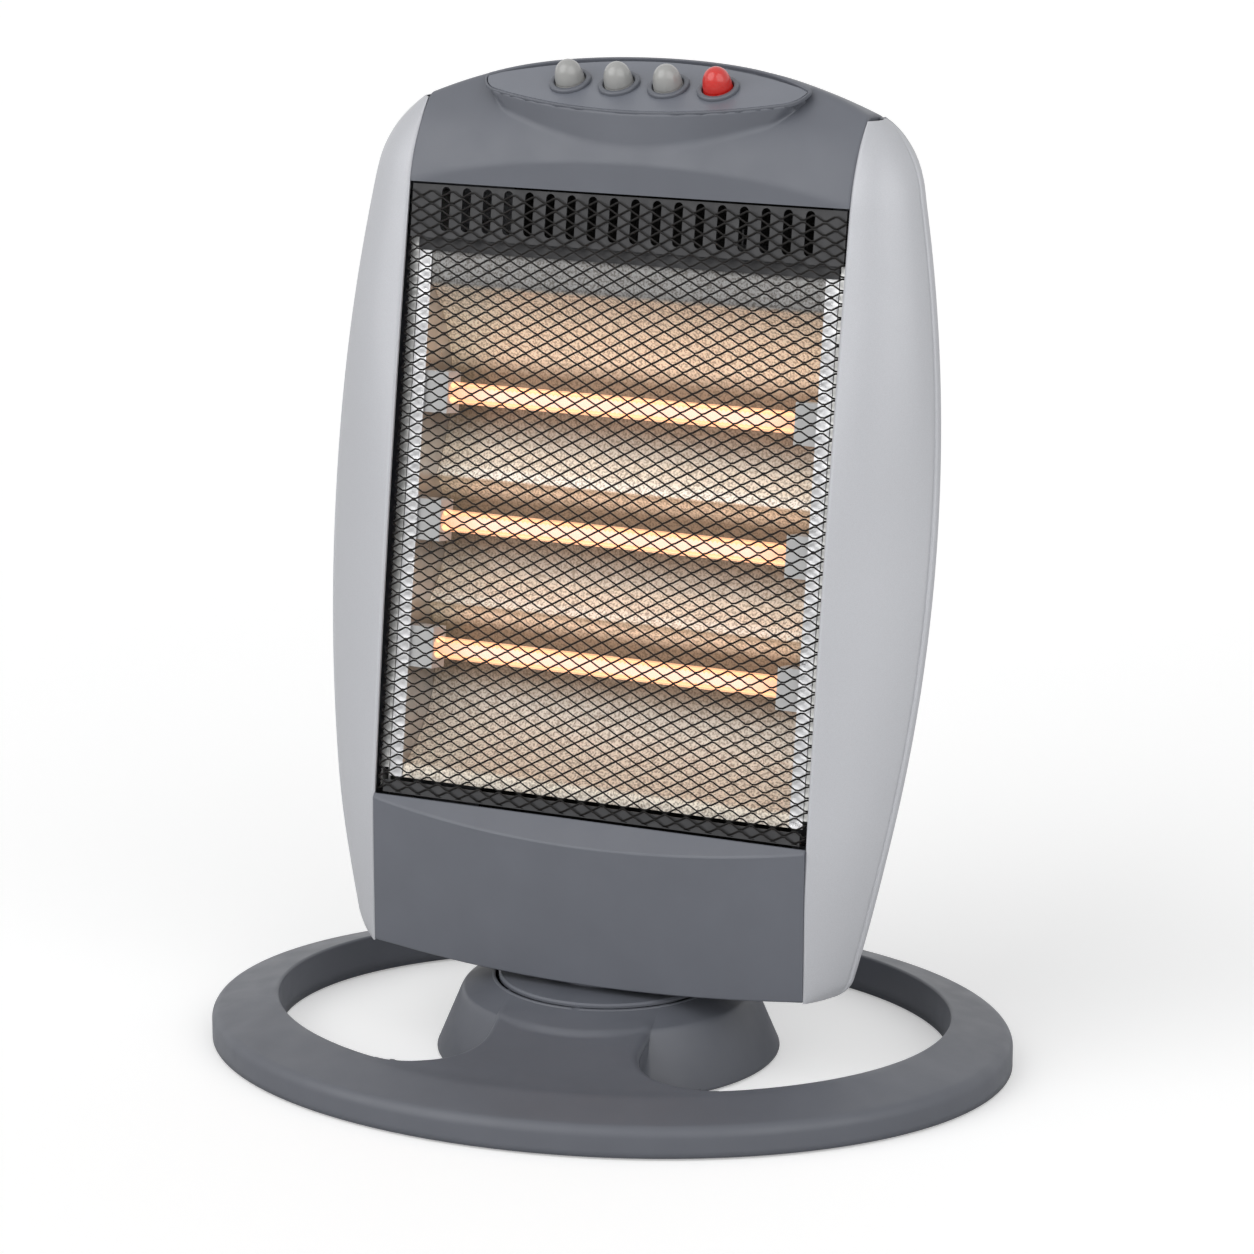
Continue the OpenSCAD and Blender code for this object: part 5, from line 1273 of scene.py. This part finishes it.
class HEATER_OT_mouldings(Operator):
    """Makes the turntable, the lower panel, the rear cover and a near-black sheet of painted shade behind its louvres
    """
    bl_idname = "heater.mouldings"
    bl_label = "Mouldings"

    def execute(self, context):
        edge = context.scene.heater_sizes.edge_round / MM
        dark = finish("dark_plastic")
        softened_copy("turntable", "turn_disc", dark, edge * 0.5)
        softened_copy("lower_panel", "lower_shell", dark, edge, SEAM_LINE / SEAM_X)
        softened_copy("rear_cover", "back_shell", dark)
        # A near-black sheet of painted shade behind the louvres, for the dark inside of the head.
        points, quads = shade_sheet()
        new_piece("rear_shade_sheet", points, quads, finish("shade_black"), "head")
        return {"FINISHED"}


class HEATER_OT_metalwork(Operator):
    """Gives every other CAD part its finish"""
    bl_idname = "heater.metalwork"
    bl_label = "Metalwork and small parts"

    def execute(self, context):
        for slot, nodes in SMALL_PARTS.items():
            for node in nodes:
                dress_node(node, slot)
        return {"FINISHED"}


SMALL_PARTS = {
    "dark_plastic": ("base_cover", "bottom_tray"),
    "rubber": ("rubber_feet", "cord_gland"),
    "white_plastic": ("slide_ring", "crank", "switch_block", "terminal_block"),
    "bright_steel": ("motor_screws", "hub_screws", "tray_screws", "base_screws", "rear_cover_screws", "switch_screws",
                     "lamp_terminals", "retaining_washer"),
    "zinc_steel": ("swing_motor", "switch_bracket", "chassis_left", "chassis_right"),
    "dark_steel": ("swing_arm", "heat_shield", "lower_shield"),
    "black_plastic": ("thermal_cutout", "tilt_switch"),
}


# ---------- stage ----------

CAMERA_AT, CAMERA_DOWN, CAMERA_ROUND = (0.53798, -1.84348, 0.6873), 13.96, 16
CAMERA_LENS, CAMERA_SENSOR = 119.25, 36
KEY_AT, FILL_AT, SUN_ANGLE = (-40, 29), (48, 22), math.radians(60)
FLOOR_HALF, FLOOR_WHITE, FLOOR_GLOW = 9, 0.86, 0.35
SKY_SEEN = 1.02


class HEATER_OT_stage(Operator):
    """Sets the camera, the pale floor and the soft studio light"""
    bl_idname = "heater.stage"
    bl_label = "Stage"

    def execute(self, context):
        scene, light = context.scene, context.scene.heater_light
        scene.view_settings.view_transform = "Standard"
        camera = bpy.data.cameras.new("camera")
        camera.lens, camera.sensor_width = CAMERA_LENS, CAMERA_SENSOR
        eye = linked("camera", camera)
        eye.location = CAMERA_AT
        eye.rotation_euler = (math.radians(90 - CAMERA_DOWN), 0, math.radians(CAMERA_ROUND))
        scene.camera = eye
        self.floor()
        self.sky(light.world)
        self.sun("key light", *KEY_AT, light.key)
        self.sun("fill light", *FILL_AT, light.fill)
        return {"FINISHED"}

    def floor(self):
        """A pale floor, which looks a little brighter to the camera than it lights the object."""
        mesh = bpy.data.meshes.new("floor")
        e = FLOOR_HALF
        mesh.from_pydata([(-e, -e, 0), (e, -e, 0), (e, e, 0), (-e, e, 0)], [], [(0, 1, 2, 3)])
        floor = linked("floor", mesh)
        material = bpy.data.materials.new("floor")
        material.use_nodes = True
        links = material.node_tree.links
        out, diffuse, glow, add, path, scale = new_nodes(
            material.node_tree, "OutputMaterial", "BsdfDiffuse", "Emission", "AddShader", "LightPath", "Math")
        set_inputs(diffuse, Color=(FLOOR_WHITE, FLOOR_WHITE, FLOOR_WHITE, 1))
        scale.operation = "MULTIPLY"
        scale.inputs[1].default_value = FLOOR_GLOW
        links.new(path.outputs["Is Camera Ray"], scale.inputs[0])
        links.new(scale.outputs[0], glow.inputs["Strength"])
        links.new(diffuse.outputs[0], add.inputs[0])
        links.new(glow.outputs[0], add.inputs[1])
        links.new(add.outputs[0], out.inputs["Surface"])
        mesh.materials.append(material)

    def sky(self, strength):
        """White surroundings: strength on the object, and just over 1 where the camera, gloss or glass sees them."""
        world = bpy.data.worlds.new("studio")
        bpy.context.scene.world = world
        world.use_nodes = True
        nodes, links = world.node_tree.nodes, world.node_tree.links
        out, back, path = new_nodes(world.node_tree, "OutputWorld", "Background", "LightPath")
        seen = path.outputs["Is Camera Ray"]
        for extra in ("Is Glossy Ray", "Is Transmission Ray"):
            most = nodes.new("ShaderNodeMath")
            most.operation = "MAXIMUM"
            links.new(seen, most.inputs[0])
            links.new(path.outputs[extra], most.inputs[1])
            seen = most.outputs[0]
        set_inputs(back, Color=(1, 1, 1, 1))
        level = set_inputs(nodes.new("ShaderNodeMapRange"), To_Min=strength, To_Max=SKY_SEEN)
        links.new(seen, level.inputs["Value"])
        links.new(level.outputs["Result"], back.inputs["Strength"])
        links.new(back.outputs[0], out.inputs["Surface"])

    def sun(self, name, azimuth, elevation, strength):
        """A far soft light, at an angle to the right of the front and an angle above the floor."""
        light = bpy.data.lights.new(name, "SUN")
        light.energy, light.angle = strength, SUN_ANGLE
        linked(name, light).rotation_euler = (math.radians(90 - elevation), 0, math.radians(azimuth))


class HEATER_PT_panel(Panel):
    """Lists the heater's pieces, sizes, colours and light"""
    bl_idname = "HEATER_PT_panel"
    bl_label = "Halogen heater"
    bl_space_type = "VIEW_3D"
    bl_region_type = "UI"
    bl_category = "Heater"

    def draw(self, context):
        column = self.layout.column()
        for operator in OPERATORS:
            column.operator(operator.bl_idname)
        for group in (context.scene.heater_sizes, context.scene.heater_colours, context.scene.heater_light):
            box = self.layout.box()
            for name in group.__annotations__:
                box.prop(group, name)


GROUPS = (HeaterSizes, HeaterColours, HeaterLight)
OPERATORS = (HEATER_OT_stage, HEATER_OT_base, HEATER_OT_mouldings, HEATER_OT_side_panels, HEATER_OT_cap,
             HEATER_OT_grille, HEATER_OT_reflector, HEATER_OT_lamps, HEATER_OT_buttons, HEATER_OT_metalwork)


def register():
    """Adds the classes and the scene's properties."""
    for cls in GROUPS + OPERATORS + (HEATER_PT_panel,):
        bpy.utils.register_class(cls)
    bpy.types.Scene.heater_sizes = PointerProperty(type=HeaterSizes)
    bpy.types.Scene.heater_colours = PointerProperty(type=HeaterColours)
    bpy.types.Scene.heater_light = PointerProperty(type=HeaterLight)


def unregister():
    """Takes away what register added."""
    del bpy.types.Scene.heater_light
    del bpy.types.Scene.heater_colours
    del bpy.types.Scene.heater_sizes
    for cls in reversed(GROUPS + OPERATORS + (HEATER_PT_panel,)):
        bpy.utils.unregister_class(cls)


def main():
    """Builds every piece and the stage."""
    register()
    bpy.ops.heater.stage()
    bpy.ops.heater.base()
    bpy.ops.heater.mouldings()
    bpy.ops.heater.side_panels()
    bpy.ops.heater.cap()
    bpy.ops.heater.grille()
    bpy.ops.heater.reflector()
    bpy.ops.heater.lamps()
    bpy.ops.heater.buttons()
    bpy.ops.heater.metalwork()


if __name__ == "__main__":
    main()
